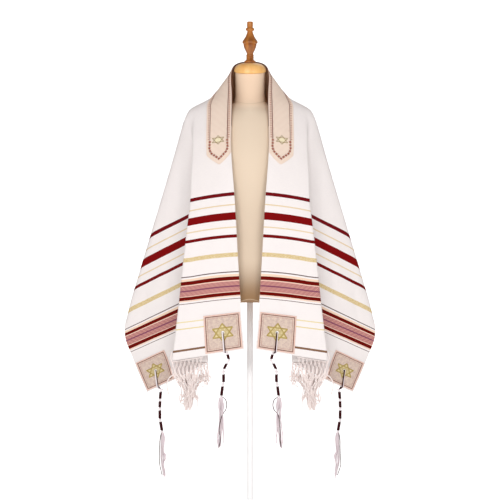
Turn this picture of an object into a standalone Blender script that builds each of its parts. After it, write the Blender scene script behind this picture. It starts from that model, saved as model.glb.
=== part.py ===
"""Tallit prayer shawl on a limbless dress form: shawl, neckband, corner squares, fringes, tassels, torso, cap, finial, pole and base."""

import math

import bmesh
import bpy
import numpy as np

PX = 0.0029  # metres to one unit of the tables below
FLOOR = 0.78  # height of the table height 300, metres
HALF_LENGTH = 320.0  # centre back to hem, units
WIDTH = 190.0  # neck edge to outer edge, units
WALL = 0.0017 / PX  # cloth thickness, units
CAP_TILT = 0.14  # rise of the neck's cut from front to back
FOLD_TURN = 1.25  # half the width of a pleat fold, units
HOLLOW = 3.0  # how far the outer panel hangs in beside the pleat, units
TIP_U, TIP_V = 71.0, 43.0  # the cloth point that lies on the shoulder tip

# The neck edge and front edges: distance along the cloth, outward, height, depth (negative is the front).
EDGE = np.array(
    [
        (0, 0, 61, 20),
        (14, 11.6, 62.2, 15.5),
        (28, 16.9, 66.3, 3),
        (40, 18.9, 76, -4.5),
        (55, 18.2, 90.4, -12.5),
        (71, 18.2, 106, -20.5),
        (90, 18.6, 124.6, -29),
        (111, 19, 145, -36),
        (136, 17.6, 169.5, -41),
        (161, 15.7, 193.9, -43),
        (192, 13.8, 224.1, -44),
        (223, 12.2, 254.4, -44.5),
        (256, 10.2, 286.6, -44.5),
        (288, 8.2, 317.8, -45),
        (320, 5.4, 349, -45),
    ],
    float,
)
# The front pleat's outer fold: along, across, outward, height, depth.
FOLD_OUT = np.array(
    [
        (71, 36, 54.8, 108.3, -7.5),
        (90, 39.5, 58.5, 129, -14.5),
        (111, 40.5, 58.8, 150.3, -20.5),
        (136, 41.8, 59.3, 175.4, -26.5),
        (161, 44.1, 59.8, 200.8, -31),
        (192, 49.3, 63.3, 230.5, -33),
        (223, 55, 66.7, 260.5, -34),
        (267.5, 62.7, 71.3, 304.6, -35),
        (288, 66.3, 73.8, 326, -35),
        (320, 71.9, 78.2, 360.6, -35),
    ],
    float,
)
# The hidden inner fold.
FOLD_IN = np.array(
    [
        (71, 38, 57.3, 108.5, -6.5),
        (90, 43, 57, 130.5, -12.8),
        (111, 47.5, 53, 153, -18),
        (136, 54.5, 47.5, 180, -23),
        (161, 61.1, 43.7, 206.5, -26),
        (192, 70, 43.7, 237.5, -27),
        (223, 79.3, 43.7, 268.4, -28),
        (267.5, 92.3, 43.3, 312.8, -28.5),
        (288, 99.8, 42.4, 332, -28.5),
        (320, 110.5, 41.5, 361.8, -28.5),
    ],
    float,
)
# The outer panel where the front panel stops covering it.
OUTER = np.array(
    [
        (71, 39.5, 59.8, 108.6, -5.5),
        (90, 47, 59.5, 132, -12),
        (111, 56, 59.6, 157, -16.6),
        (136, 69.5, 60.2, 187.5, -20.4),
        (161, 80.6, 60.5, 215.6, -22),
        (192, 94, 64, 249.5, -23),
        (223, 107.3, 66.9, 283.5, -24),
        (267.5, 128, 71.5, 330.6, -25),
        (288, 140.5, 73.9, 350.5, -25.5),
        (320, 156, 78.2, 381, -26),
    ],
    float,
)
# The side line, which is the cloth's own outer edge from 235 on.
SIDE = np.array(
    [
        (71, 43, 65.2, 108.8, -4),
        (90, 64, 72.2, 136, -3),
        (111, 87, 80.5, 166, -2),
        (136, 111, 90.5, 199.5, 0),
        (161, 134, 101.4, 236, 2.5),
        (192, 160, 112.7, 274, 5),
        (223, 184, 123.2, 311, 8),
        (235, 190, 126.2, 325.5, 9),
        (256, 190, 124.4, 342, 8),
        (267.5, 190, 120, 352.5, 6),
        (288, 190, 113.5, 369, 1),
        (320, 190, 103, 392.5, -8),
    ],
    float,
)
# The ridge over the shoulder, from the neck edge to the shoulder tip: across, outward, height, depth.
RIDGE = np.array(
    [
        (0, 16.9, 66.3, 3),
        (4, 19.4, 71.8, 2.2),
        (13, 27.6, 82, 0.9),
        (20.5, 34.2, 91, -0.3),
        (26, 39.6, 97.2, -1.2),
        (34.5, 52, 103.3, -2.7),
        (43, 65.2, 108.8, -4),
    ],
    float,
)
# The back flutes: share of the way from the side line to the centre back, lean outward and lean back in degrees.
FLUTES = np.array(
    [
        (0, 16.3, 3.4),
        (0.24, 11.5, 13.5),
        (0.48, 3, 9.5),
        (0.74, -9, 16),
        (1, -23.4, 13.9),
    ],
    float,
)
CENTRE_DEPTH = np.array([(0, 20), (20, 24), (40, 29), (60, 32), (80, 34), (190, 35)], float)


def along(table, at):
    """Smooth interpolation of a table's columns by its first one."""
    x, y = table[:, 0], table[:, 1:]
    slope = np.gradient(y, x, axis=0)
    at = np.clip(at, x[0], x[-1])
    k = np.clip(np.searchsorted(x, at, side="right") - 1, 0, len(x) - 2)
    step = (x[k + 1] - x[k])[..., None]
    t = ((at - x[k])[..., None]) / step
    return (
        (2 * t**3 - 3 * t**2 + 1) * y[k]
        + (t**3 - 2 * t**2 + t) * step * slope[k]
        + (3 * t**2 - 2 * t**3) * y[k + 1]
        + (t**3 - t**2) * step * slope[k + 1]
    )


def between(t, low, high):
    t = np.clip((t - low) / (high - low), 0, 1)
    return t * t * (3 - 2 * t)


def front_side(u, v):
    """The front of the cloth below the shoulder tip: panel, pleat and outer panel as straight runs between the lines."""
    first, second = along(FOLD_OUT, u), along(FOLD_IN, u)
    turn = np.minimum(FOLD_TURN, 0.25 * (second[:, :1] - first[:, :1])) * [1.1, 0, 0, 1]
    rows = [np.concatenate([np.zeros((len(u), 1)), along(EDGE, u)], 1)]
    rows += [first - turn, first + turn, second - turn, second + turn]
    rows += [along(OUTER, u), along(SIDE, u)]
    out = rows[0][:, 1:].copy()
    for a, b in zip(rows, rows[1:]):
        share = np.clip((v - a[:, 0]) / np.maximum(b[:, 0] - a[:, 0], 1e-6), 0, 1)
        out += share[:, None] * (b[:, 1:] - a[:, 1:])
    # The outer panel hangs hollow beside the pleat and turns to the front at the side.
    out[:, 2] += HOLLOW * between(u, 85, 150) * 6.75 * share * (1 - share) ** 2
    return out


def front_yoke(u, v):
    """The cloth in front of the shoulder ridge."""
    reach = np.maximum(u - 28, 1e-6)
    share = np.clip(v / reach, 0, 1)[:, None]
    return along(EDGE, u) * (1 - share) + along(RIDGE, np.maximum(u - 28, 0)) * share


def back_yoke(u, v):
    """The cloth behind the shoulder ridge, down to the shoulder tip's level."""
    s = np.clip(u / (28 + v), 0, 1)
    bow = 0.55 * (1 - v / TIP_V) * s * (1 - s)
    top = along(RIDGE, v)
    deep = along(CENTRE_DEPTH, v)[:, 0]
    return np.stack(
        [
            top[:, 0] * (s + bow),
            61 + v + (top[:, 1] - 61 - v) * s**2,
            top[:, 2] + (deep - top[:, 2]) * (1 - s**2.3),
        ],
        -1,
    )


def back_fall(u, v):
    """The back below the shoulder tips: a plain middle, and flutes that fan from the tip to the side line."""
    s = u / TIP_U
    deep = along(CENTRE_DEPTH, v)[:, 0]
    plain = np.stack([65.2 * s, 61 + v + 5 * s**2, -4 + (deep + 4) * (1 - np.abs(s) ** 2.3)], -1)
    r = np.hypot(u - TIP_U, v - TIP_V)
    angle = np.degrees(np.arctan2(v - TIP_V, u - TIP_U))
    side = SIDE[:8]
    radius = np.hypot(side[:, 0] - TIP_U, side[:, 1] - TIP_V)
    turn = np.degrees(np.arctan2(side[:, 1] - TIP_V, side[:, 0] - TIP_U))
    turn[0] = turn[1]
    edge = along(np.column_stack([radius, turn, side[:, 2:]]), r)
    share = np.clip((angle - edge[:, 0]) / (115.8 - edge[:, 0]), 0, 1)
    lean = np.radians(along(FLUTES, np.stack([share, share * 0], -1))[:, 0])
    zero = np.radians(FLUTES[0, 1:])

    def ray(out, back):
        return np.stack([np.sin(out) * np.cos(back), np.cos(out) * np.cos(back), np.sin(back)], -1)

    fan = edge[:, 1:] + r[:, None] * (ray(lean[:, 0], lean[:, 1]) - ray(*zero))
    w = between(angle, 98, 118)[:, None]
    return plain * w + fan * (1 - w)


def raw(u, v):
    """The cloth with sharp folds: outward, height and depth of each point."""
    out = np.zeros((len(u), 3))
    side = along(SIDE, u)[:, 0]
    zones = [
        (front_side, (u >= TIP_U) & (v <= side)),
        (back_fall, ((u >= TIP_U) & (v > side)) | ((u < TIP_U) & (v >= TIP_V))),
        (back_yoke, (u < TIP_U) & (v < TIP_V) & (v > u - 28)),
        (front_yoke, (u < TIP_U) & (v < TIP_V) & (v <= u - 28)),
    ]
    for zone, where in zones:
        if where.any():
            out[where] = zone(u[where], v[where])
    return out


def soften(grid, wide, axis):
    """Gaussian smoothing that keeps both ends where they are."""
    n = int(math.ceil(3 * wide))
    grid = np.moveaxis(grid, axis, 0)
    head = 2 * grid[0] - grid[n:0:-1]
    tail = 2 * grid[-1] - grid[-2 : -n - 2 : -1]
    full = np.concatenate([head, grid, tail])
    weights = np.exp(-0.5 * (np.arange(-n, n + 1) / wide) ** 2)
    weights /= weights.sum()
    total = sum(w * full[i : i + len(grid)] for i, w in enumerate(weights))
    return np.moveaxis(total, 0, axis)


def make_field():
    """The softened cloth on a grid with a step of 1, for one half and a mirrored strip beyond the centre back."""
    extra = 24
    u = np.arange(-extra, HALF_LENGTH + 1)
    v = np.arange(0, WIDTH + 1)
    uu, vv = np.meshgrid(u, v, indexing="ij")
    flat = raw(np.abs(uu).ravel(), vv.ravel()).reshape(uu.shape + (3,))
    flat[..., 0] *= np.where(uu < 0, -1, 1)
    fine = soften(soften(flat, 3.0, 0), 1.3, 1)
    mid = soften(soften(flat, 4.0, 0), 3.2, 1)
    broad = soften(soften(flat, 6.0, 0), 6.0, 1)
    safe = np.clip(uu, TIP_U, HALF_LENGTH).ravel()
    side = along(SIDE, safe)[:, 0].reshape(uu.shape)
    fold = np.zeros(uu.shape)
    for line in (FOLD_OUT, FOLD_IN):
        at = along(line, safe)[:, 0].reshape(uu.shape)
        fold = np.maximum(fold, np.exp(-(((vv - at) / 7) ** 2)))
    fold *= between(uu, 95, 150)
    back = between(vv - side, 2, 14) * between(uu, 60, 80) + between(vv, 40, 60) * (1 - between(uu, 60, 80))
    w = (fold * (1 - back))[..., None]
    out = fine * w + mid * (1 - w)
    b = back[..., None]
    return out * (1 - b) + broad * b, extra


FIELD, EXTRA = make_field()


def sample(u, v):
    """The softened cloth at any points, run on in a straight line past the hem; negative u is the other half."""
    flip = np.where(u < 0, -1.0, 1.0)
    u = np.abs(u)
    over = np.maximum(u - HALF_LENGTH, 0)
    x = np.minimum(u, HALF_LENGTH) + EXTRA
    y = np.clip(v, 0, WIDTH)
    i = np.clip(x.astype(int), 0, FIELD.shape[0] - 2)
    j = np.clip(y.astype(int), 0, FIELD.shape[1] - 2)
    s, t = (x - i)[..., None], (y - j)[..., None]
    out = (
        FIELD[i, j] * (1 - s) * (1 - t)
        + FIELD[i + 1, j] * s * (1 - t)
        + FIELD[i, j + 1] * (1 - s) * t
        + FIELD[i + 1, j + 1] * s * t
    )
    last = FIELD[-1, j] - FIELD[-5, j]
    last = last / np.linalg.norm(last, axis=-1, keepdims=True)
    out = out + over[..., None] * last
    out[..., 0] *= flip
    return out


def cloth(u, v, lift=0.0):
    """Points in metres, lifted off the cloth's middle towards the side that shows."""
    u, v = np.broadcast_arrays(np.asarray(u, float), np.asarray(v, float))
    d = 1.5
    vm, vp = np.clip(v - d, 0, WIDTH), np.clip(v + d, 0, WIDTH)
    pu = sample(u + d, v) - sample(u - d, v)
    pv = sample(u, vp) - sample(u, vm)
    n = np.cross(pu, pv)
    n /= np.maximum(np.linalg.norm(n, axis=-1, keepdims=True), 1e-9)
    return world(sample(u, v) + np.asarray(lift, float)[..., None] * n)


def world(p):
    p = np.asarray(p, float)
    return np.stack([-p[..., 0] * PX, p[..., 2] * PX, FLOOR - (p[..., 1] - 300) * PX], -1)


# Each kind of piece: red, green, blue, metallic and roughness.
LOOKS = {
    "shawl": (0.90, 0.85, 0.84, 0.0, 0.9),
    "neckband": (0.84, 0.74, 0.70, 0.0, 0.85),
    "corner": (0.77, 0.62, 0.55, 0.0, 0.85),
    "fringe": (0.86, 0.80, 0.77, 0.0, 0.9),
    "tassel": (0.80, 0.70, 0.68, 0.0, 0.9),
    "form": (0.82, 0.68, 0.50, 0.0, 0.9),
    "neck": (0.86, 0.55, 0.25, 0.0, 0.5),
    "finial": (0.50, 0.20, 0.05, 0.0, 0.35),
    "pole": (0.90, 0.90, 0.90, 0.0, 0.4),
    "base": (0.90, 0.90, 0.90, 0.0, 0.4),
}


def material(name):
    key = "neckband" if name == "neckband" else name.split("_")[0]
    found = bpy.data.materials.get(key)
    if found is None:
        red, green, blue, metallic, roughness = LOOKS[key]
        found = bpy.data.materials.new(key)
        found.use_nodes = True
        shader = found.node_tree.nodes["Principled BSDF"]
        shader.inputs["Base Color"].default_value = (red, green, blue, 1)
        shader.inputs["Metallic"].default_value = metallic
        shader.inputs["Roughness"].default_value = roughness
    return found


def add(name, points, faces, smooth=False):
    mesh = bpy.data.meshes.new(name)
    mesh.from_pydata([tuple(map(float, p)) for p in points], [], [tuple(map(int, f)) for f in faces])
    mesh.validate()
    obj = bpy.data.objects.new(name, mesh)
    obj.data.materials.append(material(name))
    bpy.context.scene.collection.objects.link(obj)
    bm = bmesh.new()
    bm.from_mesh(mesh)
    bmesh.ops.recalc_face_normals(bm, faces=bm.faces[:])
    bm.to_mesh(mesh)
    bm.free()
    for face in mesh.polygons:
        face.use_smooth = smooth
    return obj


def wall(name, u, v, low, high, holes=()):
    """A closed wall over grid points u, v of the cloth, between two lifts. Each hole replaces two by two cells."""
    rows, cols = u.shape
    points = [cloth(u, v, np.full(u.shape, high)).reshape(-1, 3), cloth(u, v, np.full(u.shape, low)).reshape(-1, 3)]
    count = rows * cols
    total = 2 * count
    gone = set()
    faces = []
    for i, j, radius in holes:
        gone |= {(i - 1, j - 1), (i - 1, j), (i, j - 1), (i, j)}
        around = [(i - 1, j - 1), (i - 1, j), (i - 1, j + 1), (i, j + 1), (i + 1, j + 1), (i + 1, j), (i + 1, j - 1), (i, j - 1)]
        turn = np.radians([225, 180, 135, 90, 45, 0, 315, 270])
        cu = u[i, j] + radius * np.cos(turn)
        cv = v[i, j] + radius * np.sin(turn)
        for lift in (high, low):
            points.append(cloth(cu, cv, np.full(8, lift)))
        for k in range(8):
            a, b = around[k], around[(k + 1) % 8]
            for side in (0, 1):
                ring = total + side * 8
                p, q = side * count + a[0] * cols + a[1], side * count + b[0] * cols + b[1]
                faces += [(p, q, ring + (k + 1) % 8), (p, ring + (k + 1) % 8, ring + k)]
            faces.append((total + k, total + (k + 1) % 8, total + 8 + (k + 1) % 8, total + 8 + k))
        total += 16
    for i in range(rows - 1):
        for j in range(cols - 1):
            if (i, j) in gone:
                continue
            a, b, c, d = i * cols + j, i * cols + j + 1, (i + 1) * cols + j + 1, (i + 1) * cols + j
            faces += [(a, b, c), (a, c, d)]
            faces += [(count + c, count + b, count + a), (count + d, count + c, count + a)]
    rim = [(i, 0) for i in range(rows)] + [(rows - 1, j) for j in range(1, cols)]
    rim += [(i, cols - 1) for i in range(rows - 2, -1, -1)] + [(0, j) for j in range(cols - 2, 0, -1)]
    for a, b in zip(rim, rim[1:] + rim[:1]):
        p, q = a[0] * cols + a[1], b[0] * cols + b[1]
        faces.append((p, q, count + q, count + p))
    return add(name, np.concatenate(points), faces)


ROWS = np.array(
    [0, 9, 18, 28, 38, 48, 59, 71, 84, 98, 111, 118.5, 128.5, 143, 160, 178, 196, 214, 230, 246, 264, 281.5, 290.5, 300, 309.5, 318.5, 320]
)
NECK = np.array([0, 3, 8, 13, 18.5, 24])
SQUARE = np.array([0, 1.5, 10.5, 19.5, 28.5, 37.5])
SQUARE_OUT = WIDTH - np.array([37.5, 33, 28.5, 24, 19.5, 15, 10.5, 6, 1.5, 0])


def columns(u):
    """The grid's positions across the cloth at one distance along it: edge strip, both folds, outer panel and back."""
    at = np.array([max(u, TIP_U)])
    f1, f2, m, side = (float(along(line, at)[0, 0]) for line in (FOLD_OUT, FOLD_IN, OUTER, SIDE))
    w = float(between(np.array(u), 128.5, 281.5))
    inner = NECK * (1 - w) + SQUARE * w
    d = f2 - f1
    folds = [f1 - 5, f1 - 1.5, f1 + min(1.5, 0.25 * d), f1 + min(6, 0.45 * d)]
    folds += [f2 - min(5, 0.35 * d), f2 - min(1.5, 0.2 * d), f2 + 1.5, f2 + 5]
    m = min(m, 147.0)
    near = [m + (side - m) * k for k in (0.45, 0.8, 0.94, 1)]
    near += [side + (WIDTH - side) * k for k in (0.06, 0.15, 0.26, 0.39, 0.53, 0.68, 0.84, 1)]
    near = np.array(near)
    even = m + (WIDTH - m) * np.arange(1, 13) / 12
    patch = np.concatenate([m + (SQUARE_OUT[0] - m) * np.array([0.33, 0.67]), SQUARE_OUT])
    pull = 1 - float(between(np.array(u), 150, 230))
    after = near * pull + even * (1 - pull)
    q = float(between(np.array(u), 230, 281.5))
    after = after * (1 - q) + patch * q
    v = np.concatenate([inner, folds, [m], after])
    if u < TIP_U:
        even = WIDTH * np.arange(len(v)) / (len(v) - 1)
        even[:6] = NECK
        even[6:] = 24 + (WIDTH - 24) * np.arange(1, len(v) - 5) / (len(v) - 6)
        k = 1 - u / TIP_U
        v = v * (1 - k) + even * k
    for i in range(1, len(v)):
        v[i] = max(v[i], v[i - 1] + 1.3)
    if u < 281:
        v = np.minimum(v, WIDTH - 1.3 * np.arange(len(v) - 1, -1, -1))
    return v


class Body:
    """Collects the points and faces of one closed solid."""

    def __init__(self):
        self.points, self.faces = [], []

    def put(self, ring):
        first = len(self.points)
        self.points += [np.asarray(p, float) for p in ring]
        return list(range(first, len(self.points)))

    def join(self, a, b):
        n = len(a)
        for k in range(n):
            self.faces.append((a[k], a[(k + 1) % n], b[(k + 1) % n], b[k]))

    def close(self, ring):
        self.faces.append(tuple(ring))


def lathe(name, profile, sides, squash=None, centre=(0.0, 0.0), shift=None):
    """Rings of a profile of radius and height, both ends closed."""
    body = Body()
    a = 2 * np.pi * np.arange(sides) / sides
    last = None
    for k, (r, z) in enumerate(profile):
        ring = np.stack([centre[0] + r * np.cos(a), centre[1] + r * np.sin(a), np.full(sides, z)], 1)
        if shift is not None:
            ring = shift(ring, k)
        ids = body.put(ring)
        if last is None:
            body.close(ids[::-1])
        else:
            body.join(last, ids)
        last = ids
    body.close(last)
    return add(name, body.points, body.faces)


def height(h):
    return FLOOR - (h - 300) * PX


def make_shawl():
    us = np.concatenate([-ROWS[:0:-1], ROWS])
    v = np.array([columns(abs(u)) for u in us])
    u = np.repeat(us[:, None], v.shape[1], 1)
    n = len(us)
    first, last = 3, n - 4
    inner, outer = 3, v.shape[1] - 6
    holes = [(i, j, HOLE) for i in (first, last) for j in (inner, outer)]
    wall("shawl", u, v, -WALL / 2, WALL / 2, holes)
    squares = {}
    for side, rows in (("left", slice(n - 6, n - 1)), ("right", slice(1, 6))):
        for place, cols in (("inner", slice(1, 6)), ("outer", slice(v.shape[1] - 10, v.shape[1] - 1))):
            uu, vv = u[rows, cols], v[rows, cols]
            mid_i, mid_j = 2, 2 if place == "inner" else 4
            wall(
                f"corner_square_{place}_{side}",
                uu,
                vv,
                WALL / 2 + GAP,
                WALL / 2 + GAP + TRIM,
                [(mid_i, mid_j, HOLE)],
            )
    keep = ROWS[ROWS <= 118.5]
    top = np.concatenate([-keep[:0:-1], keep])
    ends = [(124.5, 0.55), (128.8, 0.12)]
    rows = [(-a, k) for a, k in ends[::-1]] + [(a, 1.0) for a in top] + ends
    vv = np.array([12 + (columns(min(abs(a), 118.5))[:6] - 12) * k for a, k in rows])
    vv = np.clip(vv, 0, None)
    uu = np.repeat(np.array([a for a, _ in rows])[:, None], 6, 1)
    wall("neckband", uu, vv, WALL / 2 + GAP, WALL / 2 + GAP + TRIM)


GAP = 0.0005 / PX
TRIM = 0.0012 / PX
HOLE = 0.0035 / PX


def below_hem(sign, drop, v, lift):
    """Points under the hem, from the shawl's own hem corners, so that a strip runs along its facets."""
    at = columns(HALF_LENGTH)
    corner = cloth(np.full(len(at), sign * HALF_LENGTH), at, np.full(len(at), lift)) - [0, 0, drop * PX]
    return np.stack([np.interp(v, at, corner[:, k]) for k in range(3)], 1)


def make_fringe(side):
    """A strip along the folded hem between the squares, and flat strands drawn from its lower edge into one bunch."""
    sign = 1 if side == "left" else -1
    name = f"fringe_{side}"
    count = 30
    start, stop = 40.5, 149.0
    pitch = (stop - start) / count
    stops = []
    for k in range(count):
        stops += [start + pitch * (k + 0.28), start + pitch * (k + 0.72)]
    v = np.array([start] + stops + [stop])
    top, low = 0.3, 2.3
    body = Body()
    ids = {}
    for tag, uu, lift in (("tf", top, 0.28), ("tb", top, -0.28), ("lf", low, 0.28), ("lb", low, -0.28)):
        ids[tag] = body.put(below_hem(sign, uu, v, lift))
    for j in range(len(v) - 1):
        body.faces.append((ids["tf"][j], ids["tf"][j + 1], ids["lf"][j + 1], ids["lf"][j]))
        body.faces.append((ids["tb"][j + 1], ids["tb"][j], ids["lb"][j], ids["lb"][j + 1]))
        body.faces.append((ids["tf"][j + 1], ids["tf"][j], ids["tb"][j], ids["tb"][j + 1]))
        root = [ids["lf"][j], ids["lf"][j + 1], ids["lb"][j + 1], ids["lb"][j]]
        if j % 2 == 0:
            body.close(root)
            continue
        k = j // 2
        corner = np.array([body.points[i] for i in root])
        mid = corner.mean(0)
        end = 398 + 11 * math.sin(1.3 * k) ** 2 + (3 if k % 3 else 0)
        tip_a = 61 + (-mid[0] * sign / PX - 61) * 0.4
        layer = (v[j] < 73) * -2.2 + (v[j] > 113) * 1.6
        last = root
        for step in (0.25, 0.6, 1.0):
            ease = (step - 0.25) / 0.75
            x = -sign * PX * ((-mid[0] * sign / PX) * (1 - ease) + tip_a * ease)
            z = mid[2] + (height(end) - mid[2]) * step
            shrink = 1 - 0.45 * step
            y = mid[1] + layer * PX + 0.001 * math.sin(2.1 * k + 4 * step) * ease
            ring = (corner - mid) * shrink + np.array([x, y, z])
            ring[:, 2] = z
            now = body.put(ring)
            body.join(last, now)
            last = now
        body.close(last)
    for j in (0, len(v) - 1):
        body.close([ids["tf"][j], ids["lf"][j], ids["lb"][j], ids["tb"][j]])
    return add(name, body.points, body.faces)


# Tassel heads: outward and height of the windings and knots, and half-thickness there.
HEAD_INNER = np.array(
    [
        (22.6, 354.2, 1.5),
        (21.8, 356.5, 1.3),
        (20.6, 360.3, 2.2),
        (23.4, 363.6, 1.4),
        (25.4, 367.6, 1.4),
        (26.4, 371.4, 2.2),
        (26.1, 375, 1.4),
        (26.2, 380.4, 1.4),
        (27, 383.8, 2.2),
        (27.2, 387, 1.4),
        (28.2, 393, 1.4),
        (28.5, 396.6, 2.2),
        (28.5, 398.6, 1.7),
    ]
)
HEAD_OUTER = np.array(
    [
        (88.6, 390.0, 1.5),
        (88.7, 391.6, 2.0),
        (89.8, 394, 1.5),
        (90, 398, 1.5),
        (90, 399.8, 2.1),
        (90.1, 402.5, 1.5),
        (90.2, 406.5, 1.5),
        (90.3, 408.8, 2.1),
        (90.3, 412, 1.5),
        (90.2, 418, 1.5),
        (90.1, 420, 2.1),
        (89.6, 423, 1.5),
        (88.3, 429, 1.5),
        (88.1, 431.2, 2.1),
        (88.1, 433.2, 1.7),
    ]
)


def cell_ring(radius):
    """The twelve border points of a block of four by two cells, and its three inner points, about nought."""
    border = [(-2, -1), (-1, -1), (0, -1), (1, -1), (2, -1), (2, 0), (2, 1), (1, 1), (0, 1), (-1, 1), (-2, 1), (-2, 0)]
    turns = [-135, -115, -90, -65, -45, 0, 45, 65, 90, 115, 135, 180]
    ring = {c: (radius * math.cos(math.radians(t)), radius * math.sin(math.radians(t))) for c, t in zip(border, turns)}
    inner = {(k, 0): (radius * k * 0.42, 0.0) for k in (-1, 0, 1)}
    return border, ring, inner


def make_tassel(place, side):
    """Two cords through the eyelet and round the hem, a wound head with knots, and eight loose cords, all one solid."""
    sign = 1 if side == "left" else -1
    head = HEAD_INNER if place == "inner" else HEAD_OUTER
    v_hole = 19.5 if place == "inner" else WIDTH - 19.5
    end = 448 if place == "inner" else 478
    hem_v = 19.2 if place == "inner" else 174.5
    hem = cloth(np.array([sign * HALF_LENGTH]), np.array([hem_v]))[0]
    depth = hem[1] / PX
    body = Body()

    def point(a, h, y):
        return np.array([-sign * a * PX, y * PX, height(h)])

    def put_ring(a, h, r, with_inner=False):
        border, ring, inner = cell_ring(r)
        ids = dict(zip(border, body.put([point(a - x, h, depth + y) for x, y in (ring[c] for c in border)])))
        if with_inner:
            ids.update(zip(inner, body.put([point(a - x, h, depth + y) for x, y in inner.values()])))
        return border, ids

    def cells(ids, used):
        """Closes an end block; each used cell gets a smaller square inside it, which is returned."""
        out = {}
        for i in (-2, -1, 0, 1):
            for j in (-1, 0):
                corners = [ids[(i, j)], ids[(i + 1, j)], ids[(i + 1, j + 1)], ids[(i, j + 1)]]
                if (i, j) not in used:
                    body.close(corners)
                    continue
                pts = np.array([body.points[k] for k in corners])
                mid = pts.mean(0)
                small = body.put(mid + (pts - mid) * 0.72)
                body.join(corners, small)
                out[(i, j)] = small
        return out

    border, first = put_ring(*head[0], with_inner=True)
    last = first
    for k, row in enumerate(head[1:]):
        _, now = put_ring(*row, with_inner=k == len(head) - 2)
        body.join([last[c] for c in border], [now[c] for c in border])
        last = now
    roots = cells(last, {(i, j) for i in (-2, -1, 0, 1) for j in (-1, 0)})
    a0, h0 = head[-1, 0], head[-1, 1]
    for k, ((i, j), root) in enumerate(sorted(roots.items())):
        pts = np.array([body.points[q] for q in root])
        mid = pts.mean(0)
        prev = root
        stop = end - (0, 3, 1, 5, 2, 0, 4, 1)[k]
        for step in (0.15, 0.55, 1.0):
            spread = 1 + 1.5 * min(step * 3, 1.0) + 0.8 * step
            h = h0 + (stop - h0) * step
            dx = (i + 0.5) * 0.62 * spread
            dy = (j + 0.5) * 1.1 * spread
            target = point(a0 - dx + 0.35 * math.sin(3 * step + k) * step, h, depth + dy)
            shape = (pts - mid) * (1 - 0.25 * step)
            ring = shape + target
            ring[:, 2] = height(h)
            now = body.put(ring)
            body.join(prev, now)
            prev = now
        body.close(prev)
    legs = cells(first, {(i, j) for i in (-1, 0) for j in (-1, 0)})
    for i in (-1, 0):
        front, back = legs[(i, -1)], legs[(i, 0)]
        shift = -(i + 0.5) * 1.0
        span = np.array([320.5, 317.5, 312.0, 305.0, 301.2])
        share = (span - 300) / 20
        vv = v_hole + shift * (0.55 + 0.45 * share) * 0.9 + (hem_v - v_hole) * share
        up = cloth(sign * span, vv, np.array([1.45, 1.75, 1.6, 1.55, 1.5]))
        low = cloth(sign * span, vv, np.array([-1.25, -1.35, -1.2, -1.15, -1.1]))
        over = cloth(sign * np.array([299.7, 299.7]), np.full(2, v_hole + shift * 0.5), np.array([1.15, -0.75]))
        middle = cloth(np.array([sign * 299.55]), np.array([v_hole + shift * 0.5]), np.array([0.2]))
        start = np.array([body.points[q] for q in front]).mean(0)
        finish = np.array([body.points[q] for q in back]).mean(0)
        rise = np.array([0, 0, 0.9 * PX])
        path = np.concatenate([[start + rise], up, over[:1], middle, over[1:], low[::-1], [finish + rise]])
        thick = 0.285 * PX
        ahead = np.gradient(path, axis=0)
        ahead /= np.linalg.norm(ahead, axis=1, keepdims=True)
        prev = front
        side_way = np.array([1.0, 0, 0])
        for p, t in zip(path, ahead):
            across = side_way - t * (side_way @ t)
            across /= np.linalg.norm(across)
            other = np.cross(t, across)
            ring = [p + thick * (x * across + y * other) for x, y in ((1, 1), (-1, 1), (-1, -1), (1, -1))]
            ring = best_turn(prev, ring, body)
            now = body.put(ring)
            body.join(prev, now)
            prev = now
        body.join(prev, match(prev, back, body))
    return add(f"tassel_{place}_{side}", body.points, body.faces)


def best_turn(prev, ring, body):
    """The order of the new ring whose points lie nearest to the last ring's."""
    old = np.array([body.points[q] for q in prev])
    options = []
    for base in (ring, ring[::-1]):
        for k in range(4):
            turned = base[k:] + base[:k]
            options.append((float(np.linalg.norm(old - np.array(turned), axis=1).sum()), len(options), turned))
    return min(options)[2]


def match(prev, other, body):
    old = np.array([body.points[q] for q in prev])
    options = []
    for base in (list(other), list(other)[::-1]):
        for k in range(4):
            turned = base[k:] + base[:k]
            new = np.array([body.points[q] for q in turned])
            options.append((float(np.linalg.norm(old - new, axis=1).sum()), turned))
    return min(options)[1]


# The torso: height, half-width, half-depth to the front, half-depth to the back, roundness.
TORSO = np.array(
    [
        (71.72, 14.8, 14.8, 14.8, 2.0),
        (80, 14.7, 14.8, 14.8, 2.0),
        (91, 14.8, 15.2, 15.2, 1.95),
        (98, 15.2, 16.6, 16.4, 1.85),
        (103, 17.6, 18.6, 18.2, 1.6),
        (107, 28, 20.4, 20, 1.3),
        (111, 41, 22.4, 21.6, 1.35),
        (115, 51, 24, 22.9, 1.5),
        (120, 55, 26, 25, 1.7),
        (127, 56.3, 28.4, 27.2, 1.85),
        (140, 54.5, 32, 28.2, 2.0),
        (160, 49.5, 35.4, 27.3, 2.1),
        (185, 45.5, 35, 26.6, 2.15),
        (210, 41.5, 32, 26, 2.15),
        (235, 41.5, 31, 26.4, 2.15),
        (262, 46, 32.5, 28, 2.15),
        (288, 49.5, 34, 29, 2.15),
        (303, 50, 34.2, 29.2, 2.15),
    ]
)


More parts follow.
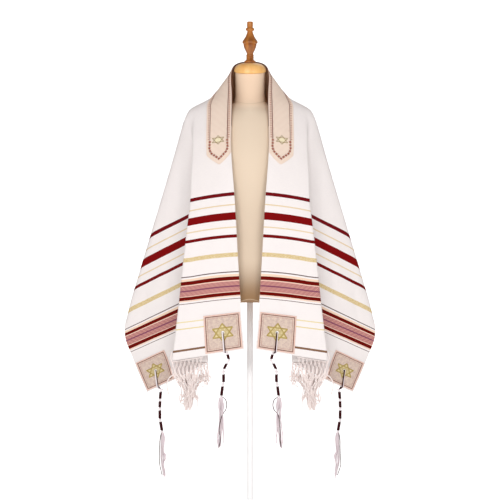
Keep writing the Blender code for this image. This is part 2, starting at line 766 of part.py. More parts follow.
def make_form():
    sides = 24
    body = Body()
    last = None
    a = 2 * np.pi * np.arange(sides) / sides
    for row, (h, wide, front, back, power) in enumerate(TORSO[::-1]):
        c, s = np.cos(a), np.sin(a)
        x = wide * np.sign(c) * np.abs(c) ** (2 / power)
        y = np.where(s < 0, front, back) * np.sign(s) * np.abs(s) ** (2 / power)
        rise = np.zeros(sides)
        if row == 0:
            rise = np.where(s < 0, 3.2 * np.exp(-((x / 9) ** 2)), 0.0)
        if row == len(TORSO) - 1:
            rise = CAP_TILT * y
        ring = np.stack([x * PX, y * PX, height(h - rise)], 1)
        ids = body.put(ring)
        if last is None:
            centre = body.put([np.array([0, 0, height(302.4)])])[0]
            for k in range(sides):
                body.faces.append((centre, ids[(k + 1) % sides], ids[k]))
        else:
            body.join(last, ids)
        last = ids
    body.close(last)
    add("form_torso", body.points, body.faces)

    cap = [(15.4, 71.5), (16.0, 70.7), (15.7, 68.8), (14.7, 66.6), (12.9, 64.7), (10.3, 63.3), (6.2, 62.4)]

    def tilt(ring, k):
        if k < 2:
            ring[:, 2] += CAP_TILT * ring[:, 1]
        return ring

    lathe("neck_cap", [(r * PX, height(h)) for r, h in cap], 26, shift=tilt)
    finial = [
        (6.05, 62.2), (6.05, 61.2), (3.7, 58.6), (3.9, 57.2), (3.5, 56.1), (3.9, 55.0), (3.4, 53.0),
        (4.8, 50.0), (6.1, 47.0), (6.7, 43.7), (7.7, 42.6), (7.7, 40.6), (6.4, 39.0),
        (4.2, 35.2), (2.7, 30.8), (4.2, 29.7), (4.2, 27.5), (3.0, 26.7), (3.1, 22.0), (2.5, 20.6),
    ]
    lathe("finial", [(r * PX, height(h)) for r, h in finial], 14)
    lathe("pole", [(0.009, 0.0425), (0.009, height(302.4) - 0.0008)], 16)
    base = [(0.148, 0.0), (0.155, 0.002), (0.155, 0.008), (0.150, 0.0105), (0.022, 0.0145), (0.0175, 0.019), (0.0165, 0.040), (0.0145, 0.0420)]
    lathe("base", base, 30)


def main():
    for obj in list(bpy.data.objects):
        bpy.data.objects.remove(obj)
    make_shawl()
    for side in ("left", "right"):
        make_fringe(side)
        for place in ("inner", "outer"):
            make_tassel(place, side)
    make_form()


main()
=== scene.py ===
"""Looks of a tallit prayer shawl that hangs open on a limbless dress form."""

import math
import bmesh
import bpy
import numpy as np
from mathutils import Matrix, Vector

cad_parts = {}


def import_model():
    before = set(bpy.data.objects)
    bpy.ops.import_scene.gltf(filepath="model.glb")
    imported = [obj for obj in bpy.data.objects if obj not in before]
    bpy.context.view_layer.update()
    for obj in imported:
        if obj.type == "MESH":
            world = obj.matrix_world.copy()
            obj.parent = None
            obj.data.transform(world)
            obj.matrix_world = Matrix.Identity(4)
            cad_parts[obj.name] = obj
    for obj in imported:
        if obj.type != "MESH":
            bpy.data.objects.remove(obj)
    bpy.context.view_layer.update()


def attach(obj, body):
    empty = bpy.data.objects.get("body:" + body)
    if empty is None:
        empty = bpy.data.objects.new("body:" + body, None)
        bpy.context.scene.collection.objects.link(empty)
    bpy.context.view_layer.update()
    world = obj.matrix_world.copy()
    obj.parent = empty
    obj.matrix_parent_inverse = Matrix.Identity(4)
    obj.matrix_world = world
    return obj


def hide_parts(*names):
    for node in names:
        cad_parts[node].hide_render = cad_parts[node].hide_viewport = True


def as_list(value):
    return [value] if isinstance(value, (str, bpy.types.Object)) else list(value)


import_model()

PX = 0.0029  # metres to one unit of the tables below
FLOOR = 0.78  # height of the table height 300, metres
HALF_LENGTH = 320.0  # centre back to hem, units
WIDTH = 190.0  # neck edge to outer edge, units
WALL = 0.0017 / PX  # cloth thickness, units
CAP_TILT = 0.14  # rise of the neck's cut from front to back
FOLD_TURN = 1.25  # half the width of a pleat fold, units
HOLLOW = 3.0  # how far the outer panel hangs in beside the pleat, units
TIP_U, TIP_V = 71.0, 43.0  # the cloth point that lies on the shoulder tip
EYELET_U, EYELET_V = 300.0, 19.5  # an eyelet: from the centre back, and from the near edge
GAP, TRIM, HOLE = 0.0005 / PX, 0.0012 / PX, 0.0035 / PX  # under what is sewn on, its thickness, eyelet radius
UNDER = WALL / 2 + GAP * 0.6  # inner and outer face of what is sewn on the cloth
TOP = WALL / 2 + GAP + TRIM
TORSO_SIDES = 96
SIDES = (("left", 1), ("right", -1))  # each half, and the sign of its distances from the centre back


def table(rows):
    return np.array(rows, float)


# The neck edge and front edges: distance along the cloth, outward, height, depth (negative is the front).
EDGE = table([
    (0, 0, 61, 20), (14, 11.6, 62.2, 15.5), (28, 16.9, 66.3, 3), (40, 18.9, 76, -4.5),
    (55, 18.2, 90.4, -12.5), (71, 18.2, 106, -20.5), (90, 18.6, 124.6, -29), (111, 19, 145, -36),
    (136, 17.6, 169.5, -41), (161, 15.7, 193.9, -43), (192, 13.8, 224.1, -44), (223, 12.2, 254.4, -44.5),
    (256, 10.2, 286.6, -44.5), (288, 8.2, 317.8, -45), (320, 5.4, 349, -45),
])
# The front pleat's outer fold: along, across, outward, height, depth.
FOLD_OUT = table([
    (71, 36, 54.8, 108.3, -7.5), (90, 39.5, 58.5, 129, -14.5), (111, 40.5, 58.8, 150.3, -20.5),
    (136, 41.8, 59.3, 175.4, -26.5), (161, 44.1, 59.8, 200.8, -31), (192, 49.3, 63.3, 230.5, -33),
    (223, 55, 66.7, 260.5, -34), (267.5, 62.7, 71.3, 304.6, -35), (288, 66.3, 73.8, 326, -35),
    (320, 71.9, 78.2, 360.6, -35),
])
# The hidden inner fold.
FOLD_IN = table([
    (71, 38, 57.3, 108.5, -6.5), (90, 43, 57, 130.5, -12.8), (111, 47.5, 53, 153, -18),
    (136, 54.5, 47.5, 180, -23), (161, 61.1, 43.7, 206.5, -26), (192, 70, 43.7, 237.5, -27),
    (223, 79.3, 43.7, 268.4, -28), (267.5, 92.3, 43.3, 312.8, -28.5), (288, 99.8, 42.4, 332, -28.5),
    (320, 110.5, 41.5, 361.8, -28.5),
])
# The outer panel where the front panel stops covering it.
OUTER = table([
    (71, 39.5, 59.8, 108.6, -5.5), (90, 47, 59.5, 132, -12), (111, 56, 59.6, 157, -16.6),
    (136, 69.5, 60.2, 187.5, -20.4), (161, 80.6, 60.5, 215.6, -22), (192, 94, 64, 249.5, -23),
    (223, 107.3, 66.9, 283.5, -24), (267.5, 128, 71.5, 330.6, -25), (288, 140.5, 73.9, 350.5, -25.5),
    (320, 156, 78.2, 381, -26),
])
# The side line, which is the cloth's own outer edge from 235 on.
SIDE = table([
    (71, 43, 65.2, 108.8, -4), (90, 64, 72.2, 136, -3), (111, 87, 80.5, 166, -2), (136, 111, 90.5, 199.5, 0),
    (161, 134, 101.4, 236, 2.5), (192, 160, 112.7, 274, 5), (223, 184, 123.2, 311, 8),
    (235, 190, 126.2, 325.5, 9), (256, 190, 124.4, 342, 8), (267.5, 190, 120, 352.5, 6),
    (288, 190, 113.5, 369, 1), (320, 190, 103, 392.5, -8),
])
# The ridge over the shoulder, from the neck edge to the tip: across, outward, height, depth.
RIDGE = table([
    (0, 16.9, 66.3, 3), (4, 19.4, 71.8, 2.2), (13, 27.6, 82, 0.9), (20.5, 34.2, 91, -0.3),
    (26, 39.6, 97.2, -1.2), (34.5, 52, 103.3, -2.7), (43, 65.2, 108.8, -4),
])
# The back flutes: share of the way from the side line to the centre back, and lean outward and back, degrees.
FLUTES = table([
    (0, 16.3, 3.4), (0.24, 11.5, 13.5), (0.48, 3, 9.5), (0.74, -9, 16), (1, -23.4, 13.9),
])
# Depth of the centre back: distance across, and depth.
CENTRE_DEPTH = table([
    (0, 20), (20, 24), (40, 29), (60, 32), (80, 34), (190, 35),
])


def along(table, at):
    """Smooth interpolation of a table's columns by its first one."""
    x, y = table[:, 0], table[:, 1:]
    slope = np.gradient(y, x, axis=0)
    at = np.clip(at, x[0], x[-1])
    k = np.clip(np.searchsorted(x, at, side="right") - 1, 0, len(x) - 2)
    step = (x[k + 1] - x[k])[..., None]
    t = ((at - x[k])[..., None]) / step
    return (
        (2 * t**3 - 3 * t**2 + 1) * y[k]
        + (t**3 - 2 * t**2 + t) * step * slope[k]
        + (3 * t**2 - 2 * t**3) * y[k + 1]
        + (t**3 - t**2) * step * slope[k + 1]
    )


def between(t, low, high):
    t = np.clip((t - low) / (high - low), 0, 1)
    return t * t * (3 - 2 * t)


def front_side(u, v):
    """The front below the shoulder tip: panel, pleat and outer panel, straight between the lines."""
    first, second = along(FOLD_OUT, u), along(FOLD_IN, u)
    turn = np.minimum(FOLD_TURN, 0.25 * (second[:, :1] - first[:, :1])) * [1.1, 0, 0, 1]
    rows = [np.concatenate([np.zeros((len(u), 1)), along(EDGE, u)], 1)]
    rows += [first - turn, first + turn, second - turn, second + turn]
    rows += [along(OUTER, u), along(SIDE, u)]
    out = rows[0][:, 1:].copy()
    for a, b in zip(rows, rows[1:]):
        share = np.clip((v - a[:, 0]) / np.maximum(b[:, 0] - a[:, 0], 1e-6), 0, 1)
        out += share[:, None] * (b[:, 1:] - a[:, 1:])
    # The outer panel hangs hollow beside the pleat and turns to the front at the side.
    out[:, 2] += HOLLOW * between(u, 85, 150) * 6.75 * share * (1 - share) ** 2
    return out


def front_yoke(u, v):
    """The cloth in front of the shoulder ridge."""
    reach = np.maximum(u - 28, 1e-6)
    share = np.clip(v / reach, 0, 1)[:, None]
    return along(EDGE, u) * (1 - share) + along(RIDGE, np.maximum(u - 28, 0)) * share


def back_yoke(u, v):
    """The cloth behind the shoulder ridge, down to the shoulder tip's level."""
    s = np.clip(u / (28 + v), 0, 1)
    bow = 0.55 * (1 - v / TIP_V) * s * (1 - s)
    top = along(RIDGE, v)
    deep = along(CENTRE_DEPTH, v)[:, 0]
    fall = 61 + v + (top[:, 1] - 61 - v) * s**2
    return np.stack([top[:, 0] * (s + bow), fall, top[:, 2] + (deep - top[:, 2]) * (1 - s**2.3)], -1)


def back_fall(u, v):
    """The back below the shoulder tips: a plain middle, and flutes that fan out to the side line."""
    s = u / TIP_U
    deep = along(CENTRE_DEPTH, v)[:, 0]
    plain = np.stack([65.2 * s, 61 + v + 5 * s**2, -4 + (deep + 4) * (1 - np.abs(s) ** 2.3)], -1)
    r = np.hypot(u - TIP_U, v - TIP_V)
    angle = np.degrees(np.arctan2(v - TIP_V, u - TIP_U))
    side = SIDE[:8]
    radius = np.hypot(side[:, 0] - TIP_U, side[:, 1] - TIP_V)
    turn = np.degrees(np.arctan2(side[:, 1] - TIP_V, side[:, 0] - TIP_U))
    turn[0] = turn[1]
    edge = along(np.column_stack([radius, turn, side[:, 2:]]), r)
    share = np.clip((angle - edge[:, 0]) / (115.8 - edge[:, 0]), 0, 1)
    lean = np.radians(along(FLUTES, np.stack([share, share * 0], -1))[:, 0])
    zero = np.radians(FLUTES[0, 1:])

    def ray(out, back):
        return np.stack([np.sin(out) * np.cos(back), np.cos(out) * np.cos(back), np.sin(back)], -1)

    fan = edge[:, 1:] + r[:, None] * (ray(lean[:, 0], lean[:, 1]) - ray(*zero))
    w = between(angle, 98, 118)[:, None]
    return plain * w + fan * (1 - w)


def raw(u, v):
    """The cloth with sharp folds: outward, height and depth of each point."""
    out = np.zeros((len(u), 3))
    side = along(SIDE, u)[:, 0]
    zones = [
        (front_side, (u >= TIP_U) & (v <= side)),
        (back_fall, ((u >= TIP_U) & (v > side)) | ((u < TIP_U) & (v >= TIP_V))),
        (back_yoke, (u < TIP_U) & (v < TIP_V) & (v > u - 28)),
        (front_yoke, (u < TIP_U) & (v < TIP_V) & (v <= u - 28)),
    ]
    for zone, where in zones:
        if where.any():
            out[where] = zone(u[where], v[where])
    return out


def soften(grid, wide, axis):
    """Gaussian smoothing that keeps both ends where they are."""
    n = int(math.ceil(3 * wide))
    grid = np.moveaxis(grid, axis, 0)
    head = 2 * grid[0] - grid[n:0:-1]
    tail = 2 * grid[-1] - grid[-2 : -n - 2 : -1]
    full = np.concatenate([head, grid, tail])
    weights = np.exp(-0.5 * (np.arange(-n, n + 1) / wide) ** 2)
    weights /= weights.sum()
    total = sum(w * full[i : i + len(grid)] for i, w in enumerate(weights))
    return np.moveaxis(total, 0, axis)


def make_field():
    """The softened cloth on a grid with a step of 1, for one half and a strip past the centre back."""
    extra = 24
    u = np.arange(-extra, HALF_LENGTH + 1)
    v = np.arange(0, WIDTH + 1)
    uu, vv = np.meshgrid(u, v, indexing="ij")
    flat = raw(np.abs(uu).ravel(), vv.ravel()).reshape(uu.shape + (3,))
    flat[..., 0] *= np.where(uu < 0, -1, 1)
    fine = soften(soften(flat, 3.0, 0), 1.3, 1)
    mid = soften(soften(flat, 4.0, 0), 3.2, 1)
    broad = soften(soften(flat, 6.0, 0), 6.0, 1)
    safe = np.clip(uu, TIP_U, HALF_LENGTH).ravel()
    side = along(SIDE, safe)[:, 0].reshape(uu.shape)
    fold = np.zeros(uu.shape)
    for line in (FOLD_OUT, FOLD_IN):
        at = along(line, safe)[:, 0].reshape(uu.shape)
        fold = np.maximum(fold, np.exp(-(((vv - at) / 7) ** 2)))
    fold *= between(uu, 95, 150)
    below = between(uu, 60, 80)
    back = between(vv - side, 2, 14) * below + between(vv, 40, 60) * (1 - below)
    w = (fold * (1 - back))[..., None]
    out = fine * w + mid * (1 - w)
    b = back[..., None]
    return out * (1 - b) + broad * b, extra


FIELD, EXTRA = make_field()


def sample(u, v):
    """The softened cloth, run on in a straight line past the hem; negative u is the other half."""
    flip = np.where(u < 0, -1.0, 1.0)
    u = np.abs(u)
    over = np.maximum(u - HALF_LENGTH, 0)
    x = np.minimum(u, HALF_LENGTH) + EXTRA
    y = np.clip(v, 0, WIDTH)
    i = np.clip(x.astype(int), 0, FIELD.shape[0] - 2)
    j = np.clip(y.astype(int), 0, FIELD.shape[1] - 2)
    s, t = (x - i)[..., None], (y - j)[..., None]
    out = (
        FIELD[i, j] * (1 - s) * (1 - t)
        + FIELD[i + 1, j] * s * (1 - t)
        + FIELD[i, j + 1] * (1 - s) * t
        + FIELD[i + 1, j + 1] * s * t
    )
    last = FIELD[-1, j] - FIELD[-5, j]
    last = last / np.linalg.norm(last, axis=-1, keepdims=True)
    out = out + over[..., None] * last
    out[..., 0] *= flip
    return out


def plain_cloth(u, v, lift=0.0):
    """Points in metres, lifted off the cloth's middle towards the side that shows."""
    u, v = np.broadcast_arrays(np.asarray(u, float), np.asarray(v, float))
    d = 1.5
    vm, vp = np.clip(v - d, 0, WIDTH), np.clip(v + d, 0, WIDTH)
    pu = sample(u + d, v) - sample(u - d, v)
    pv = sample(u, vp) - sample(u, vm)
    n = np.cross(pu, pv)
    n /= np.maximum(np.linalg.norm(n, axis=-1, keepdims=True), 1e-9)
    return world(sample(u, v) + np.asarray(lift, float)[..., None] * n)


def world(p):
    p = np.asarray(p, float)
    return np.stack([-p[..., 0] * PX, p[..., 2] * PX, FLOOR - (p[..., 1] - 300) * PX], -1)


# Soft troughs (negative) and ridges, each from one cloth point to another:
# along and across at both ends, half width, and depth on the left and the right half.
CREASES = table([
    (116, 27, 152, 20, 4.5, -0.42, -0.3), (92, 26, 104, 34, 3.0, 0.3, 0.2),
    (160, 33, 190, 38, 5.0, 0.22, 0.3), (198, 13, 254, 12, 4.0, -0.42, -0.34),
    (205, 42, 262, 45, 4.5, -0.36, -0.44), (214, 27, 250, 29, 5.0, 0.3, 0.24),
    (262, 20, 300, 44, 5.0, -0.2, -0.3), (292, 52, 318, 58, 4.0, -0.3, -0.22),
    (100, 66, 168, 98, 5.5, -0.5, -0.42), (150, 104, 232, 150, 6.0, 0.45, 0.5),
    (176, 112, 246, 140, 5.0, -0.36, -0.3), (184, 146, 252, 172, 5.0, -0.42, -0.5),
    (232, 152, 300, 168, 6.0, 0.34, 0.28), (118, 92, 160, 122, 4.5, -0.3, -0.36),
    (262, 184, 312, 164, 4.0, -0.3, -0.24), (72, 62, 62, 182, 7.0, -0.7, -0.55),
    (48, 78, 42, 188, 7.5, 0.6, 0.7), (22, 66, 16, 150, 7.0, -0.6, -0.45), (6, 96, 4, 188, 6.0, 0.4, 0.35),
    (98, 104, 136, 188, 6.5, -0.6, -0.7), (84, 92, 98, 188, 6.0, 0.55, 0.45),
    (120, 150, 168, 186, 6.0, 0.5, 0.4), (150, 176, 186, 189, 5.0, -0.4, -0.5),
    (0, 34, 40, 50, 4.5, -0.4, -0.4), (30, 46, 56, 60, 4.0, 0.35, 0.25),
])


def crease_lift(u, v):
    """The creases as a lift in units, each with a soft section and ends that run out."""
    total = np.zeros(np.shape(u))
    for u0, v0, u1, v1, half, left, right in CREASES:
        long = math.hypot(u1 - u0, v1 - v0)
        x, y = np.abs(u) - u0, v - v0
        run = (x * (u1 - u0) + y * (v1 - v0)) / long
        across = (x * (v1 - v0) - y * (u1 - u0)) / long
        across = across + 0.9 * np.sin(run / 11.0 + u0)
        ends = between(run, -half, 0.35 * long) * (1 - between(run, 0.65 * long, long + half))
        total = total + np.where(u >= 0, left, right) * ends * np.exp(-((across / half) ** 2))
    return total


def cloth(u, v, lift=0.0):
    """The cloth with its small creases."""
    u, v = np.broadcast_arrays(np.asarray(u, float), np.asarray(v, float))
    return plain_cloth(u, v, lift + crease_lift(u, v))


def both_halves(half):
    """Distances from the centre back on one half, and the same on the other."""
    return np.concatenate([-half[:0:-1], half])


def pairs(points):
    """Each point with the next one, and the last with the first."""
    return zip(points, points[1:] + points[:1])


def height(h):
    return FLOOR - (h - 300) * PX


def spot(a, h, y, sign=1):
    """A point in metres from outward, height and depth; sign -1 is the right half."""
    return np.array([-sign * a * PX, y * PX, height(h)])


def linear(code):
    """A web colour as the four numbers that the shaders take."""
    parts = [int(code[k : k + 2], 16) / 255 for k in (1, 3, 5)]
    return (*(c / 12.92 if c <= 0.04045 else ((c + 0.055) / 1.055) ** 2.4 for c in parts), 1.0)


# A warm brown sheet inside the collar, painted shade of the cloth's inside: distance from the centre back, and width
# across.
COLLAR_SHADE = table([
    (0, 64.0), (30, 60.0), (60, 20.0), (84, 16.0), (112, 0.6),
])

# Woven stripes: first and last distance from the centre back, and colour.
STRIPES = [
    (159.4, 162.7, "#6E0A12"), (171.3, 172.6, "#E3CDA8"), (179.7, 187.6, "#7C0508"),
    (194.1, 195.5, "#E4CFAC"), (202.5, 205.7, "#720B0E"), (220.8, 225.2, "#D3B981"),
    (240.0, 241.0, "#5F4B4A"), (242.6, 244.9, "#F3D6BE"), (244.9, 248.7, "#6A0B05"),
    (248.7, 249.9, "#F1CDB9"), (249.9, 260.0, "#B97A76"), (260.0, 260.8, "#F1CDB9"),
    (260.8, 264.0, "#6A0B05"), (264.0, 265.4, "#F1D3C0"), (267.1, 268.0, "#7B6A67"),
    (284.6, 285.6, "#E6D6A0"), (290.9, 292.0, "#E2D094"), (310.8, 312.6, "#83614C"),
]
WHITE = "#F2ECEA"
RAMP_SPLIT = 233  # one colour ramp is too short for all stripes, so there are two


# Materials. Each is looked up here, because the frame's own have the same names.
MATERIALS = {}


class Nodes:
    """Shorthand for one material's node tree."""

    def __init__(self, name, roughness, sheen=0.0, coat=0.0, gloss=0.12):
        MATERIALS[name] = material = bpy.data.materials.new(name)
        material.use_nodes = True
        self.tree = material.node_tree
        self.shader = self.tree.nodes["Principled BSDF"]
        self.set(self.shader, {"Roughness": roughness, "Specular IOR Level": gloss})
        if sheen:
            self.set(self.shader, {"Sheen Weight": sheen, "Sheen Roughness": 0.5})
        if coat:
            self.set(self.shader, {"Coat Weight": coat, "Coat Roughness": 0.2})

    def set(self, node, inputs):
        """Links an input to an output, or sets it to a number, a vector or a web colour."""
        for key, value in inputs.items():
            if hasattr(value, "is_output"):
                self.tree.links.new(value, node.inputs[key])
            else:
                node.inputs[key].default_value = linear(value) if isinstance(value, str) else value
        return node

    def add(self, kind, inputs=None, **settings):
        node = self.tree.nodes.new("ShaderNode" + kind)
        for key, value in settings.items():
            setattr(node, key, value)
        return self.set(node, inputs or {})

    def flat(self):
        """The cloth's own coordinates in metres: along and across."""
        return self.add("UVMap", uv_map="UVMap").outputs[0]

    def solid(self):
        return self.add("TexCoord").outputs["Object"]

    def math(self, operation, a, b=0.0, c=0.0):
        return self.add("Math", {0: a, 1: b, 2: c}, operation=operation).outputs[0]

    def times(self, a, b):
        return self.math("MULTIPLY", a, b)

    def distance(self, value, centre):
        return self.math("ABSOLUTE", self.math("SUBTRACT", value, centre))

    def near(self, value, centre, reach):
        return self.math("LESS_THAN", self.distance(value, centre), reach)

    def mix(self, factor, a, b, blend="MIX"):
        inputs = {0: factor, 6: a, 7: b}
        return self.add("Mix", inputs, data_type="RGBA", blend_type=blend).outputs[2]

    def remap(self, value, low, high, first=0.0, last=1.0, **settings):
        inputs = {0: value, 1: low, 2: high, 3: first, 4: last}
        return self.add("MapRange", inputs, **settings).outputs[0]

    def noise(self, vector, scale, detail=3.0, rough=0.55):
        inputs = {"Vector": vector, "Scale": scale, "Detail": detail, "Roughness": rough}
        return self.add("TexNoise", inputs).outputs[0]

    def streaks(self, vector, scale, detail=3.0, rough=0.55):
        """Noise with a scale of its own along each axis."""
        stretched = self.add("Mapping", {"Vector": vector, "Scale": scale}).outputs[0]
        return self.noise(stretched, 1.0, detail, rough)

    def wave(self, vector, scale, direction, distortion=0.0):
        inputs = {"Vector": vector, "Scale": scale, "Distortion": distortion}
        return self.add("TexWave", inputs, wave_type="BANDS", bands_direction=direction).outputs[1]

    def tone(self, vector, code, spread, scale):
        """A colour that drifts a little either way over the surface."""
        low, high = (
            (*(min(1, c * share) for c in linear(code)[:3]), 1.0) for share in (1 - spread, 1 + spread)
        )
        return self.mix(self.noise(vector, scale), low, high)

    def bump(self, value, strength, distance, below=None):
        inputs = {"Height": value, "Strength": strength, "Distance": distance}
        if below is not None:
            inputs["Normal"] = below
        return self.add("Bump", inputs).outputs[0]

    def finish(self, colour, normal=None, roughness=None):
        inputs = {"Base Color": colour, "Normal": normal, "Roughness": roughness}
        self.set(self.shader, {key: value for key, value in inputs.items() if value is not None})


def ramp(n, value, low, high, stripes):
    """A colour ramp with hard edges over the stripes that lie between two distances."""
    node = n.add("ValToRGB", {0: n.remap(value, low, high)})
    band = node.color_ramp
    band.interpolation = "CONSTANT"
    stops = [(0.0, WHITE)]
    for first, last, colour in stripes:
        first, last = (first - low) / (high - low), (last - low) / (high - low)
        stops = [s for s in stops if s[0] != first] + [(first, colour), (last, WHITE)]
    band.elements[0].position, band.elements[0].color = 0.0, linear(WHITE)
    band.elements.remove(band.elements[1])
    for position, colour in stops[1:]:
        band.elements.new(position).color = linear(colour)
    return node.outputs[0]


def shawl_material():
    n = Nodes("shawl_cloth", 0.9, sheen=0.03, gloss=0.08)
    place = n.flat()
    x, y = n.add("SeparateXYZ", {0: place}).outputs[:2]
    fuzz = n.streaks(place, (60, 900, 1), 2.0)
    distance = n.math("MULTIPLY_ADD", x, 1 / PX, n.math("MULTIPLY_ADD", fuzz, 0.5, -0.25))
    # The stripes bow up a little across the front panel.
    off = n.math("MULTIPLY_ADD", y, 1 / (24 * PX), -23.0 / 24)
    bow = n.math("MAXIMUM", n.math("SUBTRACT", 1.0, n.times(off, off)), 0.0)
    distance = n.math("ADD", distance, n.times(bow, n.remap(distance, 240.0, 290.0, 1.0, 0.0)))
    first = ramp(n, distance, 150, RAMP_SPLIT, STRIPES[:6])
    second = ramp(n, distance, RAMP_SPLIT, HALF_LENGTH, STRIPES[6:])
    colour = n.mix(n.math("GREATER_THAN", distance, RAMP_SPLIT), first, second)
    # The broad mauve band is a close hatch with a darker line along its middle.
    across = n.math("SINE", n.times(y, 2 * math.pi / (1.9 * PX)))
    lengthwise = n.math("SINE", n.times(x, 2 * math.pi / (2.1 * PX)))
    check = n.math("MULTIPLY_ADD", n.times(across, lengthwise), 0.5, 0.5)
    hatch = n.mix(check, "#A9605C", "#E0AEA4")
    hatch = n.mix(n.times(n.wave(place, 45.0, "DIAGONAL"), 0.3), hatch, "#7E3A4A")
    hatch = n.mix(n.times(n.near(distance, 255.0, 0.7), 0.8), hatch, "#6E2F58")
    colour = n.mix(n.near(distance, 254.95, 5.0), colour, hatch)
    # The lowest stripes show between the square and the pleat, and fade elsewhere.
    low = n.math("GREATER_THAN", distance, 278.0)
    beside = n.math("GREATER_THAN", n.distance(y, 54.5 * PX), 17.5 * PX)
    colour = n.mix(n.times(n.times(low, beside), 0.88), colour, WHITE)
    # Pale threads run through the broad gold stripe.
    thread = n.remap(n.streaks(place, (500, 160, 1), 2.0), 0.4, 0.62)
    gold = n.times(n.near(distance, 223.0, 2.4), thread)
    colour = n.mix(n.times(gold, 0.55), colour, "#EFE2C4")
    slub = n.streaks(place, (1400, 90, 1), 2.0)
    cloud = n.math("MULTIPLY_ADD", n.noise(place, 14.0), 0.05, 0.925)
    shade = n.math("MULTIPLY_ADD", slub, 0.10, cloud)
    grey = n.add("CombineColor", {0: shade, 1: shade, 2: shade}).outputs[0]
    colour = n.mix(1.0, colour, grey, "MULTIPLY")
    weave = n.math("ADD", n.wave(place, 290.0, "X"), n.wave(place, 290.0, "Y"))
    normal = n.bump(slub, 0.12, 0.0006, n.bump(weave, 0.10, 0.0004))
    n.finish(colour, n.bump(n.streaks(place, (16, 26, 1), 4.0, 0.6), 0.16, 0.006, normal))


def satin_material(name, base, thread):
    n = Nodes(name, 0.6, sheen=0.05, gloss=0.25)
    place = n.flat()
    figure = n.times(n.wave(place, 30.0, "DIAGONAL", 2.0), 0.16)
    colour = n.mix(figure, n.tone(place, base, 0.05, 45.0), thread)
    normal = n.bump(n.wave(place, 330.0, "DIAGONAL"), 0.12, 0.0003)
    n.finish(colour, n.bump(n.noise(place, 60.0), 0.12, 0.002, normal))


def brocade_material(name):
    """Mottled woven ground: beige and mauve flecks on a pale colour."""
    n = Nodes(name, 0.75, sheen=0.04, gloss=0.15)
    place = n.flat()
    fleck = n.noise(place, 420.0, 2.0)
    colour = n.mix(n.remap(n.noise(place, 120.0, 2.0), 0.35, 0.65), "#DFCCBC", "#CDB6AC")
    colour = n.mix(n.times(n.remap(fleck, 0.52, 0.66), 0.5), colour, "#AF9486")
    normal = n.bump(n.wave(place, 300.0, "DIAGONAL"), 0.15, 0.0004, n.bump(fleck, 0.3, 0.0008))
    n.finish(colour, normal)


def thread_material(name, base, spread=0.12):
    n = Nodes(name, 0.75, sheen=0.04, gloss=0.1)
    place = n.solid()
    ply = n.bump(n.wave(place, 500.0, "DIAGONAL", 1.0), 0.35, 0.0004)
    n.finish(n.tone(place, base, spread, 160.0), ply)


def metallic_material(name, base):
    n = Nodes(name, 0.5, gloss=0.4)
    n.set(n.shader, {"Metallic": 0.15})
    place = n.solid()
    ply = n.bump(n.wave(place, 400.0, "DIAGONAL"), 0.5, 0.0004)
    n.finish(n.tone(place, base, 0.3, 420.0), ply)


def form_material(name):
    """The form's cover: painted shade darkens it towards the lower end, and it is paler above the neck seam."""
    n = Nodes(name, 0.9, sheen=0.04)
    place = n.solid()
    grain = n.noise(place, 1300.0, 2.0)
    colour = n.mix(n.times(grain, 0.10), n.tone(place, "#E9D6BF", 0.03, 9.0), "#B79C7C")
    rise = n.add("SeparateXYZ", {0: place}).outputs[2]
    # The first zone is painted shade that darkens the cover towards its lower end; the second is the cover's own paler
    # colour above the neck seam.
    for first, last, share, code in ((258, 299, 0.9, "#957049"), (112, 98, 0.8, "#F2D3B6")):
        zone = n.remap(rise, height(first), height(last), interpolation_type="SMOOTHSTEP")
        colour = n.mix(n.times(zone, share), colour, code)
    weave = n.math("ADD", n.wave(place, 260.0, "X"), n.wave(place, 260.0, "Z"))
    n.finish(colour, n.bump(grain, 0.10, 0.0006, n.bump(weave, 0.10, 0.0005)))


def wood_material(name, light, dark, roughness, scale):
    n = Nodes(name, roughness, coat=0.2, gloss=0.5)
    place = n.solid()
    rings = n.streaks(place, (scale, scale, scale * 0.12), 6.0, 0.6)
    pores = n.streaks(place, (scale * 9, scale * 9, scale * 0.7), 2.0)
    colour = n.mix(n.remap(rings, 0.35, 0.7), light, dark)
    colour = n.mix(n.times(pores, 0.25), colour, dark)
    rough = n.math("MULTIPLY_ADD", pores, 0.15, roughness - 0.07)
    n.finish(colour, n.bump(pores, 0.08, 0.0005), rough)


def lacquer_material(name):
    n = Nodes(name, 0.38, coat=0.15, gloss=0.5)
    place = n.solid()
    peel = n.noise(place, 350.0, 2.0)
    rough = n.math("MULTIPLY_ADD", peel, 0.06, 0.33)
    n.finish(n.tone(place, "#FBFBFB", 0.008, 12.0), n.bump(peel, 0.05, 0.0004), rough)


def stage_material(name):
    n = Nodes(name, 0.95)
    n.set(n.shader, {"Emission Color": (1, 1, 1, 1), "Emission Strength": 0.62})
    n.finish((0.93, 0.93, 0.93, 1))


THREADS = [
    # The first thread is a dark line of painted shadow along the collar's inner edge.
    ("collar_painted_shadow_line", "#6E4634", 0.1), ("neckband_edge", "#EFDCD0"), ("red_thread", "#9C4E38"),
    ("rose_thread", "#B4705C"), ("brown_thread", "#7C4A40"), ("maroon_thread", "#7E4A3E"),
    ("pink_thread", "#EFC9BC"), ("cream_thread", "#E2D3A0"), ("pale_yellow_thread", "#F2E7C6"),
    ("white_thread", "#E8DFD6"), ("fringe_thread", "#F8ECE8", 0.05), ("pale_cord", "#F4ECEE", 0.06),
    ("tassel_ends", "#E2D5D9", 0.06), ("dark_cord", "#3A0810", 0.3), ("form_seam", "#DCC5A8", 0.05),
]
METALLIC = [("gold_thread", "#CCB987"), ("gold_line", "#A08B52"), ("olive_thread", "#B0984E")]


